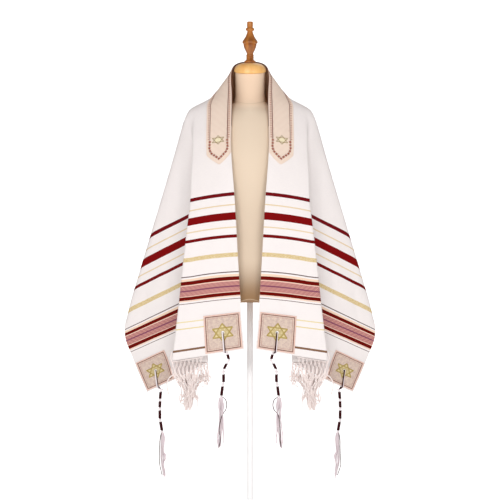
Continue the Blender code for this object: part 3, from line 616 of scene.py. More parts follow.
def make_materials():
    stage_material("plain_white")
    shawl_material()
    # The collar's inner sheet is tinted brown as painted shade.
    satin_material("collar_painted_shade", "#EBCDB2", "#D2B294")
    satin_material("neckband_cloth", "#F0DCCB", "#E6CBBA")
    brocade_material("square_cloth")
    form_material("form_cover")
    wood_material("light_wood", "#FFCE83", "#F6B463", 0.42, 60.0)
    wood_material("turned_wood", "#C47A2C", "#80420E", 0.36, 70.0)
    lacquer_material("white_lacquer")
    for row in THREADS:
        thread_material(*row)
    for row in METALLIC:
        metallic_material(*row)


# Meshes


def link(name, data):
    obj = bpy.data.objects.new(name, data)
    bpy.context.scene.collection.objects.link(obj)
    return obj


def make(name, points, faces, material, nodes=(), uv=None, sharp=50.0):
    """One piece of the object, with smooth faces and edges that are sharp past an angle."""
    mesh = bpy.data.meshes.new(name)
    faces = [tuple(int(q) for q in f) for f in faces]
    mesh.from_pydata(np.asarray(points, float).tolist(), [], faces)
    if uv is not None:
        layer = mesh.uv_layers.new(name="UVMap")
        corner = np.empty(len(mesh.loops), np.int32)
        mesh.loops.foreach_get("vertex_index", corner)
        layer.data.foreach_set("uv", np.asarray(uv, np.float32)[corner].ravel())
    bm = bmesh.new()
    bm.from_mesh(mesh)
    bmesh.ops.recalc_face_normals(bm, faces=bm.faces[:])
    for edge in bm.edges:
        edge.smooth = edge.calc_face_angle(0.0) < math.radians(sharp)
    for face in bm.faces:
        face.smooth = True
    bm.to_mesh(mesh)
    bm.free()
    mesh.materials.append(MATERIALS[material])
    obj = link(name, mesh)
    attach(obj, "root")
    if nodes:
        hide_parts(*nodes)
    return obj


class Shape:
    """Collects points and faces of a piece made of many parts."""

    def __init__(self):
        self.points, self.faces, self.uv, self.count = [], [], [], 0

    def put(self, points, faces, uv=None):
        points = np.asarray(points, float).reshape(-1, 3)
        self.points.append(points)
        self.faces += [tuple(int(q) + self.count for q in f) for f in faces]
        if uv is not None:
            self.uv.append(np.asarray(uv, float).reshape(-1, 2))
        self.count += len(points)

    def make(self, name, material, slot, nodes=(), sharp=50.0):
        uv = np.concatenate(self.uv) if self.uv else None
        return make(name, np.concatenate(self.points), self.faces, material, nodes, uv, sharp)


def loft(rings, sides):
    """Faces over equal rings of points, and one face over each end."""
    faces = []
    for i in range(rings - 1):
        for k in range(sides):
            a, b = i * sides + k, i * sides + (k + 1) % sides
            faces.append((a, b, b + sides, a + sides))
    return faces + [tuple(range(sides))[::-1], tuple((rings - 1) * sides + k for k in range(sides))]


def run_length(path):
    return np.concatenate([[0], np.cumsum(np.linalg.norm(np.diff(path, axis=0), axis=1))])


def smooth_path(path, count):
    """A smooth curve through a path's points."""
    length = run_length(np.asarray(path, float))
    return along(np.column_stack([length, path]), np.linspace(0, length[-1], count))


def tube(shape, path, radii, sides=6):
    """A round tube along a path, closed at both ends."""
    path = np.asarray(path, float)
    radii = np.broadcast_to(np.asarray(radii, float), (len(path),))
    ahead = np.gradient(path, axis=0)
    ahead /= np.maximum(np.linalg.norm(ahead, axis=1, keepdims=True), 1e-12)
    ref = np.array([1.0, 0.13, 0.07])
    turn = 2 * np.pi * np.arange(sides) / sides
    rings = []
    for p, t, r in zip(path, ahead, radii):
        ref = ref - t * (ref @ t)
        ref /= max(np.linalg.norm(ref), 1e-9)
        other = np.cross(t, ref)
        rings.append(p + r * (np.cos(turn)[:, None] * ref + np.sin(turn)[:, None] * other))
    shape.put(np.concatenate(rings), loft(len(path), sides))


def ring(shape, centre, axis, radius, thick, turns=10, sides=6, squash=1.0):
    """A closed round ring about an axis."""
    axis = np.asarray(axis, float) / np.linalg.norm(axis)
    ref = np.cross(axis, [0.3, 1, 0.2])
    ref /= np.linalg.norm(ref)
    other = np.cross(axis, ref)
    points, faces = [], []
    for i in range(turns):
        a = 2 * math.pi * i / turns
        out = math.cos(a) * ref + math.sin(a) * other
        for k in range(sides):
            b = 2 * math.pi * k / sides
            rise = axis * thick * squash * math.sin(b)
            points.append(centre + out * (radius + thick * math.cos(b)) + rise)
            j, m = (i + 1) % turns, (k + 1) % sides
            faces.append((i * sides + k, i * sides + m, j * sides + m, j * sides + k))
    shape.put(points, faces)


def wall(shape, u, v, low, high, holes=()):
    """A thin closed wall over a grid of the cloth. Points round a hole are moved onto its circle."""
    u, v = u.copy(), v.copy()
    rows, cols = u.shape
    keep = np.ones((rows - 1, cols - 1), bool)
    for uc, vc, radius in holes:
        cu, cv = ((g[:-1, :-1] + g[1:, 1:]) / 2 for g in (u, v))
        inside = np.hypot(cu - uc, cv - vc) < radius * 0.9
        keep &= ~inside
        touch = np.zeros((rows, cols), int)
        for di in (0, 1):
            for dj in (0, 1):
                touch[di : rows - 1 + di, dj : cols - 1 + dj] += inside
        for i, j in zip(*np.nonzero((touch > 0) & (touch < 4))):
            angle = math.atan2(v[i, j] - vc, u[i, j] - uc)
            u[i, j], v[i, j] = uc + radius * math.cos(angle), vc + radius * math.sin(angle)
    points = np.concatenate([cloth(u, v, lift).reshape(-1, 3) for lift in (high, low)])
    uv = np.stack([np.abs(u).ravel() * PX, v.ravel() * PX], 1)
    count = rows * cols
    i, j = np.nonzero(keep)
    a = i * cols + j
    quads = np.stack([a, a + 1, a + cols + 1, a + cols], 1)
    faces = quads.tolist() + (quads[:, ::-1] + count).tolist()
    edges = {}
    for q in quads.tolist():
        for p, r in pairs(q):
            if (r, p) in edges:
                del edges[(r, p)]
            else:
                edges[(p, r)] = True
    faces += [(r, p, p + count, r + count) for p, r in edges]
    used = np.unique(np.array([k for f in faces for k in f]))
    index = np.full(2 * count, -1)
    index[used] = np.arange(len(used))
    faces = [tuple(index[k] for k in f) for f in faces]
    shape.put(points[used], faces, np.concatenate([uv, uv])[used])


def spread(stops, counts):
    """Positions that run through the stops with a count of steps between each two."""
    out = [stops[0]]
    for a, b, n in zip(stops, stops[1:], counts):
        out += list(a + (b - a) * np.arange(1, n + 1) / n)
    return np.array(out)


def fine_columns(u):
    """Close positions across the cloth, closest at the two pleat folds and round the eyelets."""
    at = np.array([max(u, TIP_U)])
    f1, f2, m = (float(along(line, at)[0, 0]) for line in (FOLD_OUT, FOLD_IN, OUTER))
    w, q, k = (
        float(between(np.array(u), *ends)) for ends in ((128.5, 281.5), (230, 281.5), (0, TIP_U + 20))
    )
    d = f2 - f1
    edge = 24 + 13.5 * w
    m = max(min(m, 147.0), f2 + 6.5)
    third = (m + (WIDTH - m) * 0.55) * (1 - q) + (WIDTH - 22.5) * q
    fourth = (m + (WIDTH - m) * 0.68) * (1 - q) + (WIDTH - 16.5) * q
    stops = [0, 16.5 / 37.5 * edge, 22.5 / 37.5 * edge, edge, max(f1 - 6, edge + 1)]
    stops += [f1 + min(5, 0.45 * d), f2 - min(5, 0.4 * d), f2 + 5, m + 1, third, fourth, WIDTH]
    v = spread(stops, FINE_STEPS)
    if u < TIP_U + 20:
        v = v * k + np.linspace(0, WIDTH, sum(FINE_STEPS) + 1) * (1 - k)
    return v


FINE_STEPS = (8, 12, 8, 6, 20, 6, 18, 8, 26, 12, 20)


def rows_between(first, last, step):
    """Distances along the cloth at a step, closer round the eyelets."""
    base = np.arange(first, last + 0.01, step)
    base = base[(base < EYELET_U - 3.5) | (base > EYELET_U + 3.5)]
    near = np.arange(EYELET_U - 3.5, EYELET_U + 3.6, 0.5)
    return np.unique(np.concatenate([base, near, [first, last]]))


def make_shawl():
    us = both_halves(rows_between(0, HALF_LENGTH, 3.0))
    v = np.array([fine_columns(abs(u)) for u in us])
    shape, shade_sheet, shadow_line = Shape(), Shape(), Shape()
    holes = [(sign * EYELET_U, at, HOLE) for _, sign in SIDES for at in (EYELET_V, WIDTH - EYELET_V)]
    wall(shape, np.repeat(us[:, None], v.shape[1], 1), v, -0.2, 0.2, holes)
    shawl = shape.make("shawl_cloth", "shawl_cloth", "shawl_cloth", ["shawl"])
    # A brown sheet inside the collar: painted shade of the cloth's inside round the neck.
    us = both_halves(np.arange(0, COLLAR_SHADE[-1, 0] + 0.1, 2.0))
    wide = np.interp(np.abs(us), COLLAR_SHADE[:, 0], COLLAR_SHADE[:, 1])
    v = 0.15 + wide[:, None] * np.linspace(0, 1, 25)[None, :]
    wall(shade_sheet, np.repeat(us[:, None], 25, 1), v, -0.29, -0.215)
    # A dark line along the collar's edge: painted shadow inside the standing collar.
    us = np.linspace(-92, 92, 140)
    way = cloth(us, 0.0, -0.25) + [0, 0, 0.4 * PX]
    tube(shadow_line, way, (0.3 + 0.32 * np.clip((92 - np.abs(us)) / 50, 0, 1)) * PX, 7)
    return shawl, [
        shade_sheet.make("collar_painted_shade", "collar_painted_shade", "neckband_cloth"),
        shadow_line.make("collar_painted_shadow_line", "collar_painted_shadow_line", "neckband_cloth"),
    ]


def lozenge(shape, centre, way, long, wide, tall, lift):
    """A small raised stitch on the cloth: six corners and a raised middle ridge."""
    (cu, cv), (du, dv) = centre, way
    p, q, r = LOZENGE.T
    u = cu + p * long * du - q * wide * dv
    v = cv + p * long * dv + q * wide * du
    shape.put(cloth(u, v, lift + r * tall), LOZENGE_FACES)


LOZENGE = table([
    (-1, 0, 0), (-0.5, 1, 0), (0.5, 1, 0), (1, 0, 0), (0.5, -1, 0), (-0.5, -1, 0), (-0.45, 0, 1), (0.45, 0, 1),
])
LOZENGE_FACES = [(0, 1, 6), (1, 2, 7, 6), (2, 3, 7), (3, 4, 7), (4, 5, 6, 7), (5, 0, 6), (0, 5, 4, 3, 2, 1)]


def line(shape, start, end, sign, wide, lift, tall, steps=6):
    """A raised embroidered line between two points of the cloth."""
    start, end = np.array(start, float), np.array(end, float)
    way = (end - start) / np.linalg.norm(end - start)
    side = np.array([-way[1], way[0]]) * wide / 2
    profile = ((-1, 0), (-0.7, 0.8), (0, 1), (0.7, 0.8), (1, 0))
    rows = []
    for t in np.linspace(0, 1, steps + 1):
        m = start + (end - start) * t
        rows += [(m[0] + side[0] * p, m[1] + side[1] * p, lift + tall * up) for p, up in profile]
    u, v, t = np.array(rows).T
    shape.put(cloth(sign * u, v, t), loft(steps + 1, len(profile)))


def star_points(centre_u, centre_v, tall, wide):
    """The six tips of a star, one of them towards the neck, and the six inner corners."""
    return [
        [
            (
                centre_u - tall * size * math.cos(math.radians(60 * k + turn)),
                centre_v + wide * size * math.sin(math.radians(60 * k + turn)),
            )
            for k in range(6)
        ]
        for size, turn in ((1.0, 0), (0.577, 30))
    ]


def star_lines(shape, tips, sign, wide, lift, up):
    """The two triangles of a star."""
    for first in (0, 1):
        for a, b in pairs(tips[first::2]):
            line(shape, a, b, sign, wide, lift, up)


def neckband_half(u):
    """Half-width of the neckband at a distance from the centre back."""
    stops = [0, 118.0, 119.5, 124.5, 127.6, 128.7, 129.0]
    return float(np.interp(abs(u), stops, [12, 12, 11.4, 6.6, 2.9, 1.2, 0.5]))


# The neckband's running line: down one edge, round the point and up the other edge.
NEAR, FAR, STRAIGHT = 3.5, 20.4, 104.0
RUNNING = table([
    (0, NEAR), (STRAIGHT, NEAR), (113, 3.1), (117, 4.6), (123.6, 12), (117, 19.6), (113, 21), (STRAIGHT, FAR), (0, FAR),
])


def make_neckband():
    half = np.unique(np.concatenate([np.arange(0, 118, 2.0), np.arange(118, 129, 0.7), [129.0]]))
    us = both_halves(half)
    v = np.array([12 + neckband_half(u) * np.linspace(-1, 1, 25) for u in us])
    shape, edge, cross, run, dots = (Shape() for _ in range(5))
    wall(shape, np.repeat(us[:, None], 25, 1), v, UNDER, TOP - 0.12)
    slot = "neckband_cloth"
    band = shape.make("neckband_cloth", "neckband_cloth", slot, ["neckband"])
    outline = [(u, 12 - neckband_half(u) + 0.25) for u in half]
    outline += [(u, 12 + neckband_half(u) - 0.25) for u in half[::-1]]
    border = np.array(outline + [(-a, b) for a, b in outline[::-1]])
    tube(edge, cloth(border[:, 0], border[:, 1], TOP - 0.16), 0.16 * PX, 5)
    # A fine dark line follows each edge with ticks outside it; round the point they become crosses.
    gone = run_length(RUNNING)
    for _, sign in SIDES:
        for v0, wide in ((NEAR, 0.85), (FAR, 0.62)):
            for at in np.arange(0, STRAIGHT - 1.9, 2.0):
                line(run, (at, v0), (at + 2.0, v0), sign, wide, TOP - 0.13, 0.16, 2)
        number = int(STRAIGHT / 2.35)
        for k in range(number):
            at = (k + 0.5) / number * STRAIGHT
            way = (sign * 0.25 * 0.35 * math.sin(2.3 * k), 1.0)
            for v0, out, reach, wide in ((NEAR, -1, 2.0, 0.52), (FAR, 1, 1.7, 0.46)):
                tick = (sign * at, v0 + out * (0.5 + reach / 2))
                lozenge(dots, tick, way, reach / 2, wide, 0.24, TOP - 0.13)
                if k % 3 == 0:
                    dot = (sign * (at + 0.9), v0 - out * 0.95)
                    lozenge(dots, dot, (sign * 1.0, 0.3), 0.42, 0.2, 0.14, TOP - 0.13)
        for p, q in zip(RUNNING[1:7], RUNNING[2:8]):
            line(run, p, q, sign, 0.5, TOP - 0.13, 0.14, 5)
        number = int((gone[7] - gone[1]) / 3.0)
        for k in range(number):
            at = gone[1] + (k + 0.5) / number * (gone[7] - gone[1])
            u, v = (np.interp(at, gone, RUNNING[:, j]) for j in (0, 1))
            i = int(np.searchsorted(gone, at)) - 1
            way = (RUNNING[i + 1] - RUNNING[i]) / np.linalg.norm(RUNNING[i + 1] - RUNNING[i])
            side = np.array([-way[1], way[0]])
            for turn in (1.0, -0.85):
                d = way * math.cos(turn) + side * math.sin(turn)
                lozenge(cross, (sign * u, v), (sign * d[0], d[1]), 1.95, 0.4, 0.24, TOP - 0.13)
    trims = [
        edge.make("neckband_edge", "neckband_edge", slot),
        cross.make("neckband_crosses", "red_thread", slot, sharp=80),
        run.make("neckband_running_line", "brown_thread", slot, sharp=80),
        dots.make("neckband_ticks", "red_thread", slot, sharp=80),
    ]
    tips, inner = star_points(104.5, 12.4, 4.45, 5.6 * 1.155)
    u, v = np.array([(104.5, 12.4)] + inner).T
    for side, sign in SIDES:
        star, fill = Shape(), Shape()
        star_lines(star, tips, sign, 0.6, TOP - 0.1, 0.14)
        fill.put(cloth(sign * u, v, TOP - 0.09), [(0, k + 1, (k + 1) % 6 + 1) for k in range(6)])
        trims.append(star.make(f"neckband_star_{side}", "gold_line", slot, sharp=60))
        trims.append(fill.make(f"neckband_star_middle_{side}", "pale_yellow_thread", slot))
    return band, trims


# The star's cells: angle, distance along and across, half-length, half-width and height.
CELLS = ((0, 5.94, 7.392, 1.15, 0.8, 0.14), (30, 3.7, 4.095, 0.75, 0.55, 0.12))


def make_square(side, sign, place):
    """A corner square with its embroidery."""
    v0, v1 = (1.5, 37.5) if place == "inner" else (WIDTH - 37.5, WIDTH - 1.5)
    mid = (v0 + v1) / 2
    first, last = 281.5, 318.5
    u, v = (
        np.concatenate([np.linspace(a, m - 3, 10), np.arange(m - 3, m + 3.1, 0.5), np.linspace(m + 3, b, 10)])
        for a, m, b in ((first, EYELET_U, last), (v0, mid, v1))
    )
    u, v = np.meshgrid(np.unique(u), np.unique(v), indexing="ij")
    shape = Shape()
    wall(shape, sign * u, v, UNDER, TOP - 0.12, [(sign * EYELET_U, mid, HOLE)])
    nodes = [f"corner_square_{place}_{side}"]
    sheet = shape.make(f"square_cloth_{place}_{side}", "square_cloth", "square_cloth", nodes)
    lift = TOP - 0.15
    outline, margin, stitches, gold, dark, cells, eyelet = (Shape() for _ in range(7))
    frames = ((outline, 1.8, 0.8, 0.16), (margin, 0.55, 0.9, 0.12), (stitches, 3.6, 0.25, 0.1))
    for target, inset, wide, tall in frames:
        a, b, c, d = first + inset, last - inset, v0 + inset, v1 - inset
        for p, q in pairs([(a, c), (b, c), (b, d), (a, d)]):
            line(target, p, q, sign, wide, lift, tall, 14)
    tips, inner = star_points(EYELET_U, mid, 9.1, 11.4)
    rim = [p for pair in zip(tips, inner) for p in pair]
    points = []
    for share in (0.0, 0.4, 0.6, 0.8, 1.0):
        for p in rim:
            du, dv = (p[0] - EYELET_U) * share, (p[1] - mid) * share
            if not share:
                angle = math.atan2(p[1] - mid, p[0] - EYELET_U)
                du, dv = 1.75 * math.cos(angle), 1.75 * math.sin(angle)
            points.append((EYELET_U + du, mid + dv, lift + (0.16 if share < 1 else 0.02)))
    u, v, up = np.array(points).T
    gold.put(cloth(sign * u, v, up), loft(5, len(rim))[:-2])
    for p, q in pairs(rim):
        line(dark, p, q, sign, 1.15, lift + 0.04, 0.22, 3)
    for k in range(6):
        line(dark, inner[k - 1], inner[k], sign, 1.0, lift + 0.1, 0.2, 3)
        for turn, far_u, far_v, long, wide, tall in CELLS:
            a = math.radians(60 * k + turn)
            centre = (sign * (EYELET_U - far_u * math.cos(a)), mid + far_v * math.sin(a))
            lozenge(cells, centre, (-sign * math.cos(a), math.sin(a)), long, wide, tall, lift + 0.2)
    a = np.linspace(0, 2 * math.pi, 25)
    tube(eyelet, cloth(sign * (EYELET_U + 1.5 * np.cos(a)), mid + 1.5 * np.sin(a), TOP + 0.02), 0.24 * PX)
    for shape, label, thread, sharp in (
        (outline, "outline", "maroon_thread", 60),
        (margin, "margin", "pink_thread", 60),
        (stitches, "inner_line", "rose_thread", 60),
        (gold, "star", "gold_thread", 50),
        (dark, "star_line", "olive_thread", 60),
        (cells, "star_cells", "cream_thread", 80),
        (eyelet, "eyelet", "white_thread", 50),
    ):
        shape.make(f"square_{label}_{place}_{side}", thread, "square_cloth", sharp=sharp)
    return sheet


def hem_point(sign, v, drop=0.0):
    """A point below the hem at a position across the cloth."""
    return cloth(np.array([sign * HALF_LENGTH]), np.array([v]))[0] - [0, 0, drop * PX]


# Loose threads that stand out from the bunch: outward, height and depth, and the radius.
LOOSE_THREADS = [
    ([(78.3, 352, -37), (79.0, 358, -38), (76.4, 366, -38), (76.0, 374, -38.5), (79.6, 376.5, -38),
    (82.4, 381, -37.5), (82.6, 388, -37), (80.6, 395, -36.5)], 0.62), ([(68, 392, -33), (70.4, 397, -34),
    (68.6, 403, -34), (65.4, 404, -34), (64.6, 398, -33), (66.5, 394, -33)], 0.5), ([(44, 366, -32),
    (41.6, 371, -33), (42.6, 379, -33.5), (45.4, 385, -33.5), (48.4, 387, -33)], 0.5), ([(54, 380, -33),
    (53.2, 388, -34), (52.4, 397, -34), (52.6, 407.5, -34)], 0.42), ([(70.5, 366, -36), (72.5, 372, -37),
    (69.5, 378, -37), (66, 384, -36)], 0.5), ([(60, 364, -37), (57, 371, -38), (60.5, 377, -38),
    (58.5, 385, -37), (61, 393, -36)], 0.5), ([(51, 362, -36.5), (48, 367, -37.5), (52.5, 374, -37.5),
    (49.5, 380, -37)], 0.5),
]


def make_fringe(side, sign):
    """A hem fringe: a header, two rows of knots, and three threads from each knot of the second row."""
    threads, knots = Shape(), Shape()

    def below(v, drop, out=0.0):
        """A point under the hem, with the three layers of the pleat eased apart."""
        layer = -2.2 if v < 73 else (1.6 if v > 111 else 0.0)
        return hem_point(sign, v, drop) + [0, (layer * min(drop / 12.0, 1.0) + out) * PX, 0]

    tube(threads, [below(v, 1.2) for v in np.linspace(40.6, 149.4, 170)], 0.45 * PX, 5)
    roots = [41.0 + 108.0 / 55 * k for k in range(56)]
    first = [(a + b) / 2 for a, b in zip(roots[::2], roots[1::2])]
    second = [(a + b) / 2 for a, b in zip(first, first[1:])]
    first_axis = lambda k: (0.3 * math.sin(5 * k), 1, 0.4 * math.cos(3 * k))
    second_axis = lambda k: (0.4 * math.cos(4 * k), 1, 0.3 * math.sin(7 * k))
    for row, above, step, (top, middle, low), out, axis, radius, thick in (
        (first, roots, 2, (1.0, 2.8, 4.6), 0.25, first_axis, 0.45, 0.42),
        (second, first, 1, (4.6, 6.9, 9.0), -0.2, second_axis, 0.5, 0.45),
    ):
        for k, v in enumerate(row):
            ring(knots, below(v, low), axis(k), radius * PX, thick * PX)
            for j in (step * k, step * k + 1):
                path = [below(above[j], top), below((above[j] + v) / 2, middle, out), below(v, low)]
                tube(threads, smooth_path(path, 6), 0.34 * PX, 5)
    for k, v in enumerate(second):
        start = below(v, 9.0)
        a0, y0, h0 = -start[0] * sign / PX, start[1] / PX, 300 - (start[2] - FLOOR) / PX
        for m in range(3):
            phase = 2.4 * k + 2.1 * m
            lobe = a0 < 50.5 and (k + m) % 2 == 0
            waist = 59.5 + (a0 - 59.5) * 0.33 + 1.4 * math.sin(2.7 * phase)
            if lobe:
                waist, stop_a = a0 - 0.4 + math.sin(phase), a0 + 1.5 * math.sin(phase)
                stop_h = 381 + 5.5 * math.sin(1.9 * phase) ** 2
            elif (k + 2 * m) % 6 == 1:
                stop_a, stop_h = 52.6 + 1.2 * math.sin(phase), 398 + 9 * math.sin(1.1 * phase) ** 2
            elif (k + 2 * m) % 6 == 4:
                waist += 2.0
                stop_a, stop_h = 67.5 + 2.2 * math.sin(phase), 396 + 8 * math.sin(1.3 * phase) ** 2
            else:
                stop_a, stop_h = 61.3 + 2.8 * math.sin(1.7 * phase), 401 + 9.5 * math.sin(0.9 * phase) ** 2
            narrow = (h0 + stop_h) / 2 if lobe else 389.0
            path = []
            for t in np.linspace(0, 1, 10):
                h = h0 + (stop_h - h0) * t
                if h < narrow:
                    a = a0 + (waist - a0) * float(between(h, h0, max(narrow, h0 + 1)))
                else:
                    a = waist + (stop_a - waist) * (h - narrow) / max(stop_h - narrow, 1)
                ease = min(t * 3, 1)
                curl = 1.5 * math.sin(8.5 * t + phase) + 0.8 * math.sin(17 * t + 2.3 * phase)
                a += curl * ease * (1 - 0.45 * t)
                h += 0.9 * math.sin(11 * t + 1.7 * phase) * ease
                y = y0 + (1.4 * math.sin(5.1 * t + 1.3 * phase) - 0.5) * t
                path.append(spot(a, h, y, sign))
            tube(threads, smooth_path(path, 26), np.linspace(0.56, 0.42, 26) * PX, 5)
            ring(knots, path[4 + m], (0.2, 1, 0.5 * math.sin(phase)), 0.55 * PX, 0.5 * PX)
    for points, thick in LOOSE_THREADS:
        tube(threads, smooth_path([spot(a, h, y, sign) for a, h, y in points], 30), thick * PX)
    return [
        threads.make(f"fringe_threads_{side}", "fringe_thread", "fringe_thread", [f"fringe_{side}"], sharp=80),
        knots.make(f"fringe_knots_{side}", "fringe_thread", "fringe_thread", sharp=80),
    ]


# Tassel heads, top to bottom: outward, height, and what is there: k a knot, d the end of a dark winding.
HEAD_INNER = [
    (22.7, 352.6, "k"), (22.3, 354.2, "d"), (21.3, 358.4, "d"), (20.8, 360.2, "k"), (23.4, 363.2, "d"),
    (25.7, 368.2, "d"), (26.4, 371.6, "k"), (26.3, 374.0, "d"), (26.4, 381.4, "d"), (27.1, 384.0, "k"),
    (27.4, 386.0, "d"), (28.5, 394.8, "d"), (28.6, 396.6, "k"),
]
HEAD_OUTER = [
    (88.6, 389.8, "k"), (89.4, 392.0, "d"), (90.0, 398.6, "d"), (90.0, 399.9, "k"), (90.1, 401.4, "d"),
    (90.3, 407.3, "d"), (90.3, 408.9, "k"), (90.3, 410.6, "d"), (90.2, 418.6, "d"), (90.1, 420.2, "k"),
    (89.6, 422.0, "d"), (88.2, 430.4, "d"), (88.1, 432.0, "k"),
]
# Loose ends of the tassels, as outward and height; the last list of each is the dark one.
ENDS_INNER = [
    [(30.4, 397), (31.2, 405), (29.8, 415), (29.2, 430), (30.6, 440), (31.6, 447.5)], [(29.6, 397),
    (29.2, 404), (28.0, 414), (28.4, 430), (29.6, 446)], [(28.8, 397), (28.0, 405), (27.0, 416), (26.4, 430),
    (26.0, 443)], [(28.0, 397), (26.6, 404), (27.6, 415), (27.2, 428), (26.3, 436)], [(29.4, 397),
    (30.2, 410), (30.8, 425), (32.6, 438), (31.5, 448)], [(28.4, 397), (27.2, 408), (28.6, 420), (30.9, 432),
    (31.7, 444)], [(29.0, 397), (29.8, 408), (28.8, 422), (29.8, 436), (30.6, 447)], [(27.6, 396.6),
    (24.3, 399), (23.3, 403), (24.1, 409), (27.1, 413.5), (29.4, 420), (30.4, 428), (30.1, 434), (29.6, 440),
    (31.0, 446)],
]
ENDS_OUTER = [
    [(87.6, 431.5), (86.0, 436), (86.2, 445), (86.9, 452), (84.4, 455), (84.5, 459), (86.6, 463),
    (86.0, 468), (85.1, 472), (85.2, 478.5)], [(88.0, 432), (87.4, 440), (87.8, 452), (88.1, 462),
    (86.9, 470), (85.2, 477.5)], [(88.2, 432), (86.6, 438), (86.8, 450), (87.8, 460), (86.4, 468),
    (86.1, 474)], [(88.4, 432), (88.7, 442), (89.0, 452), (88.6, 462), (87.3, 470), (84.9, 474)],
    [(87.8, 432), (86.9, 441), (87.2, 449), (85.6, 455), (86.2, 462), (87.2, 470)], [(88.3, 432),
    (87.9, 446), (88.4, 458), (87.6, 468), (86.6, 476)], [(88.1, 432), (87.2, 444), (86.3, 456), (87.0, 466),
    (86.9, 472)], [(88.4, 431.5), (89.8, 438), (90.5, 448), (90.7, 458), (90.3, 465), (89.0, 471),
    (88.0, 475.5)],
]


def make_tassel(side, sign, place):
    """A corner tassel: a wound head with knots, cords through the eyelet, and loose ends."""
    inner = place == "inner"
    head, ends = (HEAD_INNER, ENDS_INNER) if inner else (HEAD_OUTER, ENDS_OUTER)
    v_hole, v_hem = (EYELET_V, 19.2) if inner else (WIDTH - EYELET_V, 174.5)
    depth = hem_point(sign, v_hem)[1] / PX
    pale, dark, loose = Shape(), Shape(), Shape()
    core = [spot(a, h, depth, sign) for a, h, _ in head]
    tube(pale, smooth_path(core, 60), 0.85 * PX, 8)
    for centre, (_, _, kind) in zip(core, head):
        if kind == "k":
            for tilt, wide in (((0.25, 0.2, 1), 1.05), ((-0.6, 0.3, 1), 0.95)):
                ring(pale, centre, tilt, wide * PX, 0.6 * PX, 16, 7, 1.1)
    for (a, h, kind), (b, g, other) in zip(head, head[1:]):
        if kind == other == "d":
            turns = max(3, int(round(math.hypot(b - a, g - h) / 0.74)))
            t = np.linspace(0, 1, turns * 12 + 1)
            turn = 2 * np.pi * turns * t
            x = -sign * PX * (a + (b - a) * t) + 1.14 * PX * np.cos(turn)
            y = depth * PX + 1.14 * PX * np.sin(turn)
            tube(dark, np.stack([x, y, height(h + (g - h) * t)], 1), 0.41 * PX)
    # Two cords go through the eyelet and down both faces of the cloth to the first knot.
    for shift, thick, shape in (
        ((0.5, 0.72, pale), (-0.85, 0.34, dark)) if sign > 0 else ((0.75, 0.45, pale), (-0.55, 0.6, dark))
    ):
        u = np.array([320.4, 317.5, 312.0, 305.0, 301.6])
        share = (u - EYELET_U) / 20
        v = v_hole + shift * (0.6 + 0.4 * share) + (v_hem - v_hole) * share
        lift = np.array([1.35, 1.6, 1.5, 1.45, 1.4]) + (0.2 if thick > 0.5 else -0.05)
        up = cloth(sign * u, v, lift)
        down = cloth(sign * u, v, np.array([-1.2, -1.3, -1.15, -1.1, -1.1]))
        lift = np.array([1.25, 0.2, -0.85])
        through = cloth(np.full(3, sign * EYELET_U), np.full(3, v_hole + shift * 0.5), lift)
        near, far = core[0] - [0, 0.5 * PX, 0], core[0] + [0, 0.5 * PX, 0]
        way = np.concatenate([[near], up, through, down[::-1], [far]])
        tube(shape, smooth_path(way, 44), thick * PX, 7)
    for k, points in enumerate(ends):
        way = []
        for j, (a, h) in enumerate(points):
            y = depth + (1.1 * math.sin(2.4 * k) + 0.3 * math.sin(j + k) if j else 0)
            sway = 0.5 * math.sin(1.7 * j + k) if sign < 0 and j > 1 else 0
            way.append(spot(a + sway, h, y, sign))
        last = k == len(ends) - 1
        radii = np.linspace(0.62, 0.48, 30) * (0.68 if last else 1) * PX
        tube(dark if last else loose, smooth_path(way, 30), radii)
    name = f"tassel_{place}_{side}"
    return [
        pale.make(f"{name}_pale", "pale_cord", "tassel_cord", [name], sharp=80),
        dark.make(f"{name}_dark", "dark_cord", "tassel_cord", sharp=80),
        loose.make(f"{name}_ends", "tassel_ends", "tassel_cord", sharp=80),
    ]


# The torso: height, half-width, half-depth to the front, half-depth to the back, roundness.
TORSO = table([
    (71.72, 14.8, 14.8, 14.8, 2.0), (80, 14.7, 14.8, 14.8, 2.0), (91, 14.8, 15.2, 15.2, 1.95),
    (98, 15.2, 16.6, 16.4, 1.85), (103, 17.6, 18.6, 18.2, 1.6), (107, 28, 20.4, 20, 1.3),
    (111, 41, 22.4, 21.6, 1.35), (115, 51, 24, 22.9, 1.5), (120, 55, 26, 25, 1.7),
    (127, 56.3, 28.4, 27.2, 1.85), (140, 54.5, 32, 28.2, 2.0), (160, 49.5, 35.4, 27.3, 2.1),
    (185, 45.5, 35, 26.6, 2.15), (210, 41.5, 32, 26, 2.15), (235, 41.5, 31, 26.4, 2.15),
    (262, 46, 32.5, 28, 2.15), (288, 49.5, 34, 29, 2.15), (303, 50, 34.2, 29.2, 2.15),
])
